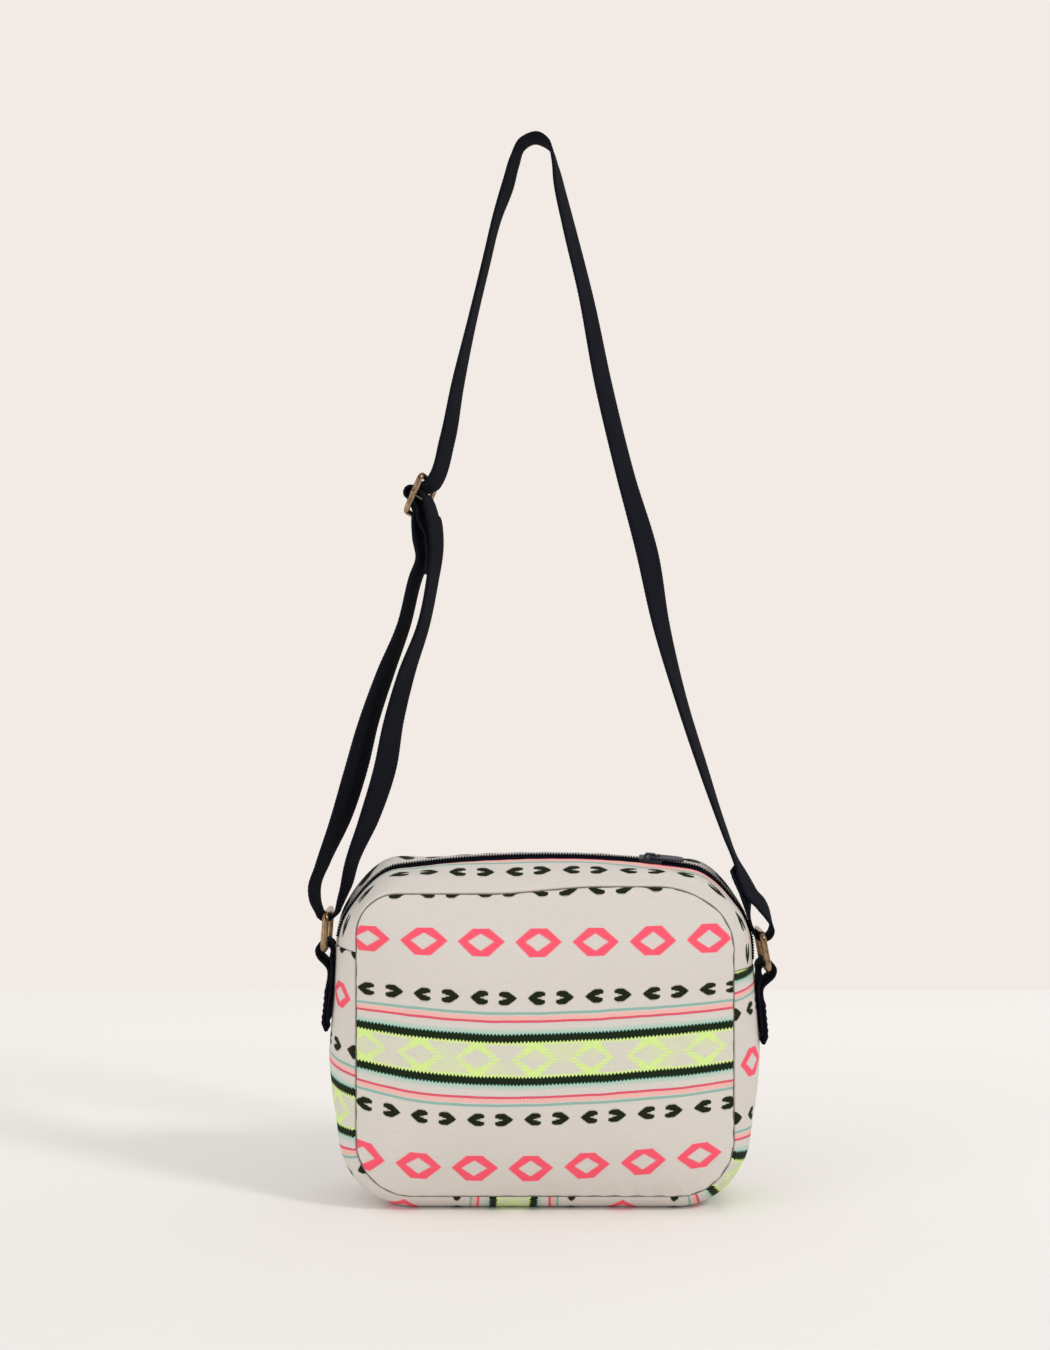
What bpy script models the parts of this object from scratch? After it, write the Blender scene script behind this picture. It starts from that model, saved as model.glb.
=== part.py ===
"""Zip-top crossbody bag: puffed panels on a gusset, a coil zip and a webbing strap on two rings.

Metres. +X is to the right seen from the front, -Y is the front, +Z is up.
The origin is the centre of the flat base.
"""
import math

import bmesh
import bpy
import numpy
from mathutils import Matrix, Vector

# Bag body, measured at its seams
SEAM_WIDTH = 0.200
SEAM_HEIGHT = 0.160
SEAM_DEPTH = 0.070
TOP_CORNER_RADIUS = 0.028
BOTTOM_CORNER_RADIUS = 0.030
CROWN_RADIUS = 0.520
PANEL_PUFF = 0.015

# How far the gusset swells past the seams
TOP_SWELL = 0.019
CORNER_SWELL = 0.013
SIDE_SWELL = 0.0165
BASE_SWELL = 0.008
SWELL_FULL_HEIGHT = 0.080
BASE_FLAT_SHARE = 0.55

# Cloth layers and the clearance that touching pieces keep
CLOTH = 0.0016
TAPE = 0.0006
LINING = 0.0006
GAP = 0.0003

# Zip: its line lies towards the front, and the coil stands a little proud
ZIP_FORWARD = 0.008
ZIP_OPENING = 0.010
TAPE_REACH = 0.013
TAPE_SPLIT = 0.0008
TOOTH_PITCH = 0.0030
TOOTH_WIDTH = 0.0012
TOOTH_TIP = 0.0009
RAIL_INNER = 0.0013
RAIL_OUTER = 0.0032
COIL_RISE = 0.0004
ZIP_END_MARGIN = 0.003

# Slider and its puller
SLIDER_PLACE = 0.057
SLIDER_LENGTH = 0.012
SLIDER_PLATE = 0.0010
SLIDER_CLEARANCE = 0.00035
BRIDGE_LENGTH = 0.0080
BRIDGE_WIDTH = 0.0024
BRIDGE_THICKNESS = 0.0009
PULLER_LENGTH = 0.018
PULLER_WIDTH = 0.0070
PULLER_THICKNESS = 0.0009
PULLER_EYE_WIDTH = 0.0034
PULLER_BAR_CLEARANCE = 0.0003

# Webbing, rings and tabs
WEBBING_WIDTH = 0.025
WEBBING = 0.0016
RING_WIRE = 0.0036
RING_HEIGHT = 0.0223
RING_SIDE_CLEARANCE = 0.0015
RING_CORNER_RADIUS = 0.0031
TAB_LOOP_RADIUS = 0.0042
STRAP_LOOP_RADIUS = 0.0052
STRAP_LOOP_SLACK = 0.0008

# Each side: the gusset's end seam, the tab's lower end and the ring's lower bar, as heights above the centre
# of the bag's top corner; the ring's lean, the tab's stand-off and the strap's drop from its top to the ring
LEFT = {"sign": -1.0, "end_seam": 0.0023, "tab_low": -0.0437, "bar_rise": 0.0012, "lean": math.radians(4.0),
        "stand_off": 0.0004, "loop_shift": 0.0, "strap_drop": 0.4199}
RIGHT = {"sign": 1.0, "end_seam": -0.0077, "tab_low": -0.0507, "bar_rise": -0.0094, "lean": math.radians(10.5),
         "stand_off": 0.0020, "loop_shift": 0.0017, "strap_drop": 0.4308}

# The strap's highest point above the bag's seam, and its adjuster: three bars in one frame
STRAP_RISE = 0.4065
ADJUSTER_DROP = 0.1953
ADJUSTER_STRAY = -0.0123
ADJUSTER_HEIGHT = 0.0244
ADJUSTER_WIRE = 0.0032
ADJUSTER_SIDE_CLEARANCE = 0.0012
ADJUSTER_CORNER_RADIUS = 0.0026
ADJUSTER_LEAN = math.radians(22.9)
ADJUSTER_YAW = math.radians(15.4)
ADJUSTER_BAR_OVERHANG = 0.0005
BAR_CLEARANCE = 0.00035
END_BAR_CLEARANCE = 0.0009
SEWN_END_LENGTH = 0.022

# Mesh steps
CROWN_STEP = 0.020
CORNER_STEP = 0.008
SIDE_STEP = 0.016
BASE_STEP = 0.024
STRAP_STEP = 0.012
WIRE_SIDES = 8

# Worked out from the sizes above
HALF_WIDTH = SEAM_WIDTH / 2.0
HALF_DEPTH = SEAM_DEPTH / 2.0
SEAM_BOTTOM = BASE_SWELL
SEAM_TOP = SEAM_BOTTOM + SEAM_HEIGHT
SEAM_MIDDLE = (SEAM_BOTTOM + SEAM_TOP) / 2.0
STRAP_TOP = SEAM_TOP + STRAP_RISE
CORNER_X = HALF_WIDTH - TOP_CORNER_RADIUS
CROWN_Z = SEAM_TOP - CROWN_RADIUS
CORNER_Z = CROWN_Z + math.sqrt((CROWN_RADIUS - TOP_CORNER_RADIUS) ** 2 - CORNER_X ** 2)
CROWN_ANGLE = math.asin(CORNER_X / (CROWN_RADIUS - TOP_CORNER_RADIUS))
BASE_END = HALF_WIDTH - BOTTOM_CORNER_RADIUS
LOW_CORNER_END = BASE_END + BOTTOM_CORNER_RADIUS * math.pi / 2.0
SIDE_END = LOW_CORNER_END + CORNER_Z - SEAM_BOTTOM - BOTTOM_CORNER_RADIUS
HIGH_CORNER_END = SIDE_END + TOP_CORNER_RADIUS * (math.pi / 2.0 - CROWN_ANGLE)
HALF_SEAM = HIGH_CORNER_END + CROWN_RADIUS * CROWN_ANGLE
SEAM_PIECES = [(BASE_END, BASE_STEP), (LOW_CORNER_END, CORNER_STEP), (SIDE_END, SIDE_STEP),
               (HIGH_CORNER_END, CORNER_STEP), (HALF_SEAM, CROWN_STEP)]
TAPE_TOP = CLOTH + GAP
LINING_TOP = TAPE_TOP + TAPE + GAP
RING_RADIUS = RING_WIRE / 2.0
RING_REACH = RING_HEIGHT - RING_WIRE
BAR_PITCH = (ADJUSTER_HEIGHT - ADJUSTER_WIRE) / 2.0

NAVY = (0.020, 0.022, 0.045)
GREIGE = (0.70, 0.66, 0.60)
BRASS = (0.24, 0.16, 0.08)


def ease(low, high, value):
    """0 below low, 1 above high, with an even curve between."""
    share = min(max((value - low) / (high - low), 0.0), 1.0)
    return share * share * (3.0 - 2.0 * share)


def blend(first, second, share):
    return first + (second - first) * share


# Seam line and the two surfaces that grow from it
def seam_at(length):
    """Point and outward direction (x, z, out x, out z), from the base's centre, right side first."""
    length %= 2.0 * HALF_SEAM
    if length > HALF_SEAM:
        x, z, out_x, out_z = seam_at(2.0 * HALF_SEAM - length)
        return -x, z, -out_x, out_z
    if length < BASE_END:
        return length, SEAM_BOTTOM, 0.0, -1.0
    if length < LOW_CORNER_END:
        turn = (length - BASE_END) / BOTTOM_CORNER_RADIUS - math.pi / 2.0
        centre = (BASE_END, SEAM_BOTTOM + BOTTOM_CORNER_RADIUS)
        radius = BOTTOM_CORNER_RADIUS
    elif length < SIDE_END:
        return HALF_WIDTH, CORNER_Z - (SIDE_END - length), 1.0, 0.0
    elif length < HIGH_CORNER_END:
        turn = (length - SIDE_END) / TOP_CORNER_RADIUS
        centre = (CORNER_X, CORNER_Z)
        radius = TOP_CORNER_RADIUS
    else:
        turn = math.pi / 2.0 - (HALF_SEAM - length) / CROWN_RADIUS
        centre = (0.0, CROWN_Z)
        radius = CROWN_RADIUS
    out_x, out_z = math.cos(turn), math.sin(turn)
    return centre[0] + radius * out_x, centre[1] + radius * out_z, out_x, out_z


def swell_at(x, z):
    """How far the gusset stands out at mid-depth, and how much of the flat base's form it has."""
    base_share = 1.0 - ease(SEAM_BOTTOM, SWELL_FULL_HEIGHT, z)
    upper = blend(SIDE_SWELL, CORNER_SWELL, ease(SWELL_FULL_HEIGHT, CORNER_Z, z))
    if z > CORNER_Z:
        corner_share = ease(CORNER_X + TOP_CORNER_RADIUS * 0.15, CORNER_X + TOP_CORNER_RADIUS * 0.8, abs(x))
        upper = blend(TOP_SWELL, CORNER_SWELL, corner_share)
    return blend(upper, BASE_SWELL, base_share), base_share


def profile(across, base_share):
    """Height of the gusset's swell, 0 to 1, where across is -1 at the front seam and 1 at the back."""
    rounded = 1.0 - across * across
    past_flat = max(abs(across) - BASE_FLAT_SHARE, 0.0) / (1.0 - BASE_FLAT_SHARE)
    return blend(rounded, 1.0 - past_flat * past_flat, base_share)


def gusset_point(length, y, inset):
    """A point of the gusset, sunk below its outer face by inset along the face's own direction."""
    x, z, out_x, out_z = seam_at(length)
    swell, base_share = swell_at(x, z)
    across = y / HALF_DEPTH
    step = 0.001
    slope = (profile(across - step, base_share) - profile(across + step, base_share)) / (2.0 * step)
    lean = math.atan(swell * slope / HALF_DEPTH)
    lean = blend(lean, math.copysign(math.pi / 4.0, across), abs(across) ** 8)
    out = swell * profile(across, base_share) - inset * math.cos(lean)
    return Vector((x + out_x * out, y - inset * math.sin(lean), z + out_z * out))


def panel_point(length, share, inset, side):
    """A point of a puffed panel, where share is 1 at the seam and 0 at the centre."""
    x, z, out_x, out_z = seam_at(length)
    lean = math.pi / 4.0 * share ** 6
    inward = inset * math.sin(lean)
    y = HALF_DEPTH + PANEL_PUFF * (1.0 - share ** 3) - inset * math.cos(lean)
    return Vector((x * share - out_x * inward, side * y,
                   SEAM_MIDDLE + (z - SEAM_MIDDLE) * share - out_z * inward))


def stations(start, end):
    """Seam lengths from start to end, with one wherever a line meets an arc."""
    lap = 2.0 * HALF_SEAM
    marks = [start]
    low = 0.0
    spans = []
    for high, step in SEAM_PIECES:
        spans += [(low, high, step), (lap - high, lap - low, step)]
        spans += [(low + lap, high + lap, step)]
        low = high
    for low, high, step in sorted(spans):
        first, last = max(low, start), min(high, end)
        if last - first > GAP:
            pieces = math.ceil((last - first) / step)
            marks += [blend(first, last, (piece + 1) / pieces) for piece in range(pieces)]
    return marks


# Materials and objects
def material(name, colour, roughness, metallic=0.0):
    made = bpy.data.materials.new(name)
    made.use_nodes = True
    shader = made.node_tree.nodes["Principled BSDF"]
    shader.inputs["Base Color"].default_value = (*colour, 1.0)
    shader.inputs["Roughness"].default_value = roughness
    shader.inputs["Metallic"].default_value = metallic
    made.diffuse_color = (*colour, 1.0)
    return made


def add_object(name, work, colour, roughness, metallic=0.0):
    """Close a bmesh into an object with its own material and smooth shading."""
    bmesh.ops.recalc_face_normals(work, faces=work.faces)
    mesh = bpy.data.meshes.new(name)
    work.to_mesh(mesh)
    work.free()
    mesh.materials.append(material(name, colour, roughness, metallic))
    mesh.shade_smooth()
    mesh.set_sharp_from_angle(angle=math.radians(40.0))
    made = bpy.data.objects.new(name, mesh)
    bpy.context.scene.collection.objects.link(made)
    return made


def slab(name, columns, rows, filled, place, top, bottom, colour, roughness):
    """One solid from the filled cells of a grid laid on a surface, between two insets."""
    work = bmesh.new()
    corners = {}

    def corner(column, row, inset):
        key = (column, row, inset)
        if key not in corners:
            corners[key] = work.verts.new(place(columns[column], rows[row], inset))
        return corners[key]

    for column, row in filled:
        square = [(column, row), (column + 1, row), (column + 1, row + 1), (column, row + 1)]
        beside = [(column, row - 1), (column + 1, row), (column, row + 1), (column - 1, row)]
        work.faces.new([corner(*spot, top) for spot in square])
        work.faces.new([corner(*spot, bottom) for spot in reversed(square)])
        for index, neighbour in enumerate(beside):
            if neighbour not in filled:
                near, far = square[index], square[(index + 1) % 4]
                work.faces.new([corner(*near, bottom), corner(*far, bottom), corner(*far, top), corner(*near, top)])
    return add_object(name, work, colour, roughness)


def strip(name, start, end, low_y, high_y, pieces, top, bottom, colour, roughness=0.9):
    """A cloth strip of the gusset between two seam lengths and two depths."""
    columns = stations(start, end)
    rows = [blend(low_y, high_y, row / pieces) for row in range(pieces + 1)]
    filled = {(column, row) for column in range(len(columns) - 1) for row in range(pieces)}
    return slab(name, columns, rows, filled, gusset_point, top, bottom, colour, roughness)


def skin(loops, closed=False):
    """A bmesh through loops of as many points each, capped at both ends unless closed."""
    work = bmesh.new()
    rings = [[work.verts.new(point) for point in loop] for loop in loops]
    pairs = list(zip(rings, rings[1:]))
    if closed:
        pairs.append((rings[-1], rings[0]))
    for near, far in pairs:
        for index in range(len(near)):
            after = (index + 1) % len(near)
            work.faces.new([near[index], near[after], far[after], far[index]])
    if not closed:
        work.faces.new(list(reversed(rings[0])))
        work.faces.new(rings[-1])
    return work


def panel(name, side, shares, top, bottom, colour):
    """A puffed panel: rings that shrink from the seam to a small flat centre, on both faces."""
    lengths = stations(0.0, 2.0 * HALF_SEAM)[:-1]
    outer = [[panel_point(length, share, top, side) for length in lengths] for share in reversed(shares)]
    inner = [[panel_point(length, share, bottom, side) for length in lengths] for share in shares]
    return add_object(name, skin(outer + inner), colour, 0.9)


# Cloth body
def end_length(side):
    """Seam length from the base's centre up to the seam between side gusset and zip gusset."""
    return SIDE_END + side["end_seam"]


SEAM_SETBACK = GAP * math.sqrt(0.5)
GUSSET_EDGE = HALF_DEPTH - SEAM_SETBACK
ZIP_START = end_length(RIGHT)
ZIP_END = 2.0 * HALF_SEAM - end_length(LEFT)
SIDE_START = ZIP_END + GAP
SIDE_FINISH = 2.0 * HALF_SEAM + ZIP_START - GAP
OUTER_SHARES = [1.0, 0.94, 0.82, 0.62, 0.36]
LINING_SHARES = [1.0, 0.85, 0.5]


def build_cloth():
    """Front and back panels, the side gusset and the two gusset strips beside the zip."""
    half_opening = ZIP_OPENING / 2.0
    panel("front_panel", -1.0, OUTER_SHARES, 0.0, CLOTH, GREIGE)
    panel("back_panel", 1.0, OUTER_SHARES, 0.0, CLOTH, GREIGE)
    strip("side_gusset", SIDE_START, SIDE_FINISH, -GUSSET_EDGE, GUSSET_EDGE, 8, 0.0, CLOTH, GREIGE)
    strip("zip_gusset_front", ZIP_START, ZIP_END, -GUSSET_EDGE, -ZIP_FORWARD - half_opening, 4, 0.0, CLOTH, GREIGE)
    strip("zip_gusset_rear", ZIP_START, ZIP_END, half_opening - ZIP_FORWARD, GUSSET_EDGE, 5, 0.0, CLOTH, GREIGE)


def build_lining():
    """The lining, a second bag inside the first, with its own slot under the zip."""
    bottom = LINING_TOP + LINING
    slot = ZIP_OPENING / 2.0 + GAP
    panel("lining_front", -1.0, LINING_SHARES, LINING_TOP, bottom, NAVY)
    panel("lining_back", 1.0, LINING_SHARES, LINING_TOP, bottom, NAVY)
    strip("lining_gusset", SIDE_START, SIDE_FINISH, -GUSSET_EDGE, GUSSET_EDGE, 5, LINING_TOP, bottom, NAVY)
    strip("lining_top_front", ZIP_START, ZIP_END, -GUSSET_EDGE, -ZIP_FORWARD - slot, 3, LINING_TOP, bottom, NAVY)
    strip("lining_top_rear", ZIP_START, ZIP_END, slot - ZIP_FORWARD, GUSSET_EDGE, 3, LINING_TOP, bottom, NAVY)


# Zip
def zip_marks(offset):
    """Seam lengths of tooth edges, evenly spaced along the zip's own line, from the right end."""
    fine = numpy.linspace(ZIP_START, ZIP_END, 500)
    line = [gusset_point(length, -ZIP_FORWARD, 0.0) for length in fine]
    run = numpy.cumsum([0.0] + [(after - before).length for before, after in zip(line, line[1:])])
    count = int((run[-1] - 2.0 * ZIP_END_MARGIN) / TOOTH_PITCH)
    marks = [ZIP_END_MARGIN]
    for tooth in range(count):
        start = ZIP_END_MARGIN + offset + tooth * TOOTH_PITCH
        marks += [start, start + TOOTH_WIDTH]
    return list(numpy.interp(marks, run, fine))


def build_teeth(name, side, offset):
    """One half of the closed zip: a rail on the tape's edge with teeth that reach between the other's."""
    columns = zip_marks(offset)
    rows = [side * RAIL_OUTER, side * RAIL_INNER, -side * TOOTH_TIP]
    filled = {(column, 0) for column in range(len(columns) - 1)}
    filled |= {(column, 1) for column in range(1, len(columns) - 1, 2)}

    def place(length, across, inset):
        return gusset_point(length, across - ZIP_FORWARD, inset)

    slab(name, columns, rows, filled, place, -COIL_RISE, CLOTH, NAVY, 0.45)


def build_zip():
    """Two tapes under the gusset's edges and the two rows of teeth on them."""
    tape_bottom = TAPE_TOP + TAPE
    strip("zip_tape_front", ZIP_START, ZIP_END, -ZIP_FORWARD - TAPE_REACH, -ZIP_FORWARD - TAPE_SPLIT / 2.0, 3,
          TAPE_TOP, tape_bottom, NAVY)
    strip("zip_tape_rear", ZIP_START, ZIP_END, TAPE_SPLIT / 2.0 - ZIP_FORWARD, TAPE_REACH - ZIP_FORWARD, 3,
          TAPE_TOP, tape_bottom, NAVY)
    build_teeth("zip_teeth_front", -1.0, TOOTH_PITCH / 4.0)
    build_teeth("zip_teeth_rear", 1.0, TOOTH_PITCH * 3.0 / 4.0)


def zip_frame():
    """Axes at the slider's place: along the zip to the right, across it to the back, and out of it."""
    turn = math.asin(SLIDER_PLACE / (CROWN_RADIUS + TOP_SWELL))
    length = HALF_SEAM - CROWN_RADIUS * turn
    origin = gusset_point(length, -ZIP_FORWARD, 0.0)
    outward = (origin - gusset_point(length, -ZIP_FORWARD, CLOTH)).normalized()
    along = Vector((math.cos(turn), 0.0, -math.sin(turn)))
    across = outward.cross(along)
    return Matrix.Translation(origin) @ Matrix((along, across, outward)).transposed().to_4x4()


def attach(child, axis_place, name):
    """Hang an object from an empty on its joint's axis, without moving it."""
    axis = bpy.data.objects.new(name, None)
    axis.location = axis_place
    bpy.context.scene.collection.objects.link(axis)
    child.parent = axis
    child.matrix_parent_inverse = Matrix.Translation(axis_place).inverted()


def unite(target, tool):
    """Join a second shape to an object, keeping the second as a hidden guide."""
    tool.hide_render = True
    tool.display_type = "WIRE"
    union = target.modifiers.new("union", "BOOLEAN")
    union.operation = "UNION"
    union.solver = "EXACT"
    union.object = tool


SLIDER_FLOOR = COIL_RISE + SLIDER_CLEARANCE
SLIDER_TOP = SLIDER_FLOOR + SLIDER_PLATE
PULLER_AXIS_RISE = SLIDER_TOP + PULLER_BAR_CLEARANCE + PULLER_THICKNESS / 2.0
BRIDGE_UNDER = PULLER_AXIS_RISE + PULLER_THICKNESS / 2.0 + PULLER_BAR_CLEARANCE
BRIDGE_TOP = BRIDGE_UNDER + BRIDGE_THICKNESS


def build_slider(frame):
    """A plate over the coil with side walls down beside it, narrower at the nose, and a bridge on top."""
    inner = RAIL_OUTER + SLIDER_CLEARANCE
    mouth = ZIP_OPENING / 2.0 - GAP
    nose = blend(inner, mouth, 0.55)
    foot = -CLOTH + GAP / 2.0
    chamfer = SLIDER_PLATE * 0.6
    loops = []
    for place, half, drop in [(-0.5, nose, chamfer), (-0.42, nose, 0.0), (0.0, mouth, 0.0), (0.42, mouth, 0.0),
                              (0.5, mouth, chamfer)]:
        x = place * SLIDER_LENGTH
        top = SLIDER_TOP - drop / 2.0
        outline = [(-half, foot), (-half, top - chamfer), (chamfer - half, top), (half - chamfer, top),
                   (half, top - chamfer), (half, foot), (inner, foot), (inner, SLIDER_FLOOR),
                   (-inner, SLIDER_FLOOR), (-inner, foot)]
        loops.append([Vector((x, y, z)) for y, z in outline])
    slider = add_object("zip_slider", skin(loops), NAVY, 0.35)
    slider.matrix_world = frame
    half_bridge = BRIDGE_LENGTH / 2.0
    sunk = SLIDER_TOP - SLIDER_PLATE / 2.0
    shoulder = BRIDGE_THICKNESS * 1.3
    arch = [(-half_bridge, sunk), (-half_bridge + shoulder * 0.4, BRIDGE_TOP - shoulder),
            (-half_bridge + shoulder * 1.5, BRIDGE_TOP), (half_bridge - shoulder * 1.5, BRIDGE_TOP),
            (half_bridge - shoulder * 0.4, BRIDGE_TOP - shoulder), (half_bridge, sunk),
            (half_bridge - shoulder, sunk), (half_bridge - shoulder * 1.4, BRIDGE_UNDER - shoulder * 0.3),
            (half_bridge - shoulder * 1.8, BRIDGE_UNDER), (shoulder * 1.8 - half_bridge, BRIDGE_UNDER),
            (shoulder * 1.4 - half_bridge, BRIDGE_UNDER - shoulder * 0.3), (shoulder - half_bridge, sunk)]
    loops = [[Vector((x, y, z)) for x, z in arch] for y in (-BRIDGE_WIDTH / 2.0, BRIDGE_WIDTH / 2.0)]
    bridge = add_object("slider_bridge", skin(loops), NAVY, 0.35)
    bridge.matrix_world = frame
    unite(slider, bridge)
    attach(slider, Vector((0.0, -ZIP_FORWARD, CROWN_Z)), "zip_travel_axis")


def build_puller(frame):
    """A flat pull whose eye goes round one leg of the bridge and turns on its end bar."""
    half_bar = PULLER_THICKNESS / 2.0
    half_width = PULLER_WIDTH / 2.0
    half_eye = PULLER_EYE_WIDTH / 2.0
    eye_end = BRIDGE_LENGTH / 2.0 + PULLER_THICKNESS * 1.2
    columns = [-half_bar, half_bar, eye_end, PULLER_LENGTH - half_width, PULLER_LENGTH - half_width * 0.4,
               PULLER_LENGTH]
    rows = [-1.0, -half_eye / half_width, half_eye / half_width, 1.0]
    filled = {(column, row) for column in range(len(columns) - 1) for row in range(len(rows) - 1)}
    filled.remove((1, 1))
    taper = {columns[3]: 1.0, columns[4]: 0.85, columns[5]: 0.5}

    def place(x, share, rise):
        return Vector((x, share * half_width * taper.get(x, 1.0), rise))

    puller = slab("zip_puller", columns, rows, filled, place, half_bar, -half_bar, NAVY, 0.35)
    puller.matrix_world = frame @ Matrix.Translation((0.0, 0.0, PULLER_AXIS_RISE))


# Metal rings and the adjuster
def wire_loop(width, height, corner, wire):
    """Loops of a round wire bent to a rounded rectangle in the YZ plane, about its own centre."""
    loops = []
    for quarter in range(4):
        sign_y = (1.0, -1.0, -1.0, 1.0)[quarter]
        sign_z = (1.0, 1.0, -1.0, -1.0)[quarter]
        for step in range(5):
            turn = math.pi / 2.0 * (quarter + step / 4.0)
            outward = Vector((0.0, math.cos(turn), math.sin(turn)))
            centre = Vector((0.0, sign_y * (width / 2.0 - corner), sign_z * (height / 2.0 - corner)))
            centre += outward * corner
            angles = [math.tau * side / WIRE_SIDES for side in range(WIRE_SIDES)]
            loops.append([centre + wire / 2.0 * (outward * math.cos(angle) + Vector((math.sin(angle), 0.0, 0.0)))
                          for angle in angles])
    return loops


def lower_bar(side):
    """Centre of the ring's lower bar, inside the loop of its tab."""
    out = HALF_WIDTH + CORNER_SWELL + side["stand_off"] + WEBBING / 2.0 + TAB_LOOP_RADIUS
    return Vector((side["sign"] * out, 0.0, CORNER_Z + side["bar_rise"]))


def upper_bar(side):
    """Centre of the ring's upper bar, which leans in over the bag."""
    return lower_bar(side) + RING_REACH * Vector((-side["sign"] * math.sin(side["lean"]), 0.0,
                                                  math.cos(side["lean"])))


def build_ring(name, side):
    """A rectangular wire ring with its origin on its lower bar."""
    width = WEBBING_WIDTH + 2.0 * RING_SIDE_CLEARANCE + RING_WIRE
    loops = wire_loop(width, RING_REACH, RING_CORNER_RADIUS, RING_WIRE)
    lifted = [[point + Vector((0.0, 0.0, RING_REACH / 2.0)) for point in loop] for loop in loops]
    ring = add_object(name, skin(lifted, closed=True), BRASS, 0.35, 1.0)
    ring.location = lower_bar(side)
    ring.rotation_euler = (0.0, -side["sign"] * side["lean"], 0.0)


def strand_stop(side, drop, stray, yaw):
    """A stop of the free strap: how far below its top, and how far right of the straight line down to the ring."""
    bar = upper_bar(side)
    share = drop / side["strap_drop"]
    turn = math.radians(yaw)
    return (Vector((bar.x * share + stray, 0.0, blend(STRAP_TOP, bar.z, share))),
            Vector((math.sin(turn), math.cos(turn), 0.0)))


def adjuster_place():
    """Centre of the adjuster's middle bar, on the left strand."""
    return strand_stop(LEFT, ADJUSTER_DROP, ADJUSTER_STRAY, 0.0)[0]


def adjuster_axes():
    """Across, width and up directions of the adjuster's frame."""
    upward = Vector((math.sin(ADJUSTER_LEAN), 0.0, math.cos(ADJUSTER_LEAN)))
    yaw = Vector((math.sin(ADJUSTER_YAW), math.cos(ADJUSTER_YAW), 0.0))
    width = (yaw - upward * upward.dot(yaw)).normalized()
    return width.cross(upward), width, upward


def build_adjuster():
    """Frame and middle bar of the strap adjuster, with its origin on the middle bar."""
    width = WEBBING_WIDTH + 2.0 * ADJUSTER_SIDE_CLEARANCE + ADJUSTER_WIRE
    across, along_width, upward = adjuster_axes()
    place = Matrix.Translation(adjuster_place()) @ Matrix((across, along_width, upward)).transposed().to_4x4()
    loops = wire_loop(width, 2.0 * BAR_PITCH, ADJUSTER_CORNER_RADIUS, ADJUSTER_WIRE)
    adjuster = add_object("strap_adjuster", skin(loops, closed=True), BRASS, 0.35, 1.0)
    adjuster.matrix_world = place
    half = width / 2.0 + ADJUSTER_WIRE / 2.0 + ADJUSTER_BAR_OVERHANG
    radius = ADJUSTER_WIRE * 0.47
    loops = [[Vector((radius * math.cos(turn), y, radius * math.sin(turn)))
              for turn in [math.tau * side / WIRE_SIDES for side in range(WIRE_SIDES)]] for y in (-half, half)]
    bar = add_object("adjuster_bar", skin(loops), BRASS, 0.35, 1.0)
    bar.matrix_world = place
    unite(adjuster, bar)


# Webbing
def ribbon(name, route, step):
    """Webbing along a smooth curve through (point, width direction) stops."""
    points, widths = [], []
    gaps = [(after[0] - before[0]).length for before, after in zip(route, route[1:])]

    def pull(index, part):
        """Direction of the curve at a stop, per metre."""
        if index == 0:
            return (route[1][part] - route[0][part]) / gaps[0]
        if index == len(route) - 1:
            return (route[-1][part] - route[-2][part]) / gaps[-1]
        before = (route[index][part] - route[index - 1][part]) / gaps[index - 1]
        after = (route[index + 1][part] - route[index][part]) / gaps[index]
        return (before * gaps[index] + after * gaps[index - 1]) / (gaps[index - 1] + gaps[index])

    for index, gap in enumerate(gaps):
        pieces = max(1, round(gap / step))
        for piece in range(pieces + (index == len(gaps) - 1)):
            share = piece / pieces
            values = []
            for part in (0, 1):
                start, end = route[index][part], route[index + 1][part]
                rise = share * share * (3.0 - 2.0 * share)
                values.append(start * (1.0 - rise) + end * rise
                              + pull(index, part) * gap * share * (1.0 - share) ** 2
                              - pull(index + 1, part) * gap * share * share * (1.0 - share))
            points.append(values[0])
            widths.append(values[1])
    loops = []
    for index, point in enumerate(points):
        tangent = (points[min(index + 1, len(points) - 1)] - points[max(index - 1, 0)]).normalized()
        half_width = (widths[index] - tangent * tangent.dot(widths[index])).normalized() * WEBBING_WIDTH / 2.0
        half_thick = tangent.cross(half_width).normalized() * WEBBING / 2.0
        loops.append([point + half_width * a + half_thick * b for a, b in ((1, 1), (-1, 1), (-1, -1), (1, -1))])
    return add_object(name, skin(loops), NAVY, 0.85)


def side_face(z):
    """Distance of the side gusset's face from the middle of the bag."""
    return HALF_WIDTH + swell_at(HALF_WIDTH, z)[0]


def build_tab(name, side):
    """Webbing folded round the ring's lower bar and sewn down on the side gusset."""
    bar = lower_bar(side)
    loop_z = bar.z - TAB_LOOP_RADIUS + WEBBING / 2.0 + RING_RADIUS + GAP
    neck = loop_z - TAB_LOOP_RADIUS * 2.3
    heights = [blend(CORNER_Z + side["tab_low"], neck, share / 3.0) for share in range(4)]
    under = GAP + WEBBING / 2.0
    over = under + WEBBING + GAP
    spots = [(side_face(z) + under, z) for z in heights]
    for step in range(10):
        turn = math.radians(205.0 - 230.0 * step / 9.0)
        spots.append((abs(bar.x) + TAB_LOOP_RADIUS * math.cos(turn), loop_z + TAB_LOOP_RADIUS * math.sin(turn)))
    spots += [(side_face(z) + over, z) for z in reversed(heights)]
    width = Vector((0.0, 1.0, 0.0))
    ribbon(name, [(Vector((side["sign"] * out, 0.0, z)), width) for out, z in spots], WEBBING_WIDTH)


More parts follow.
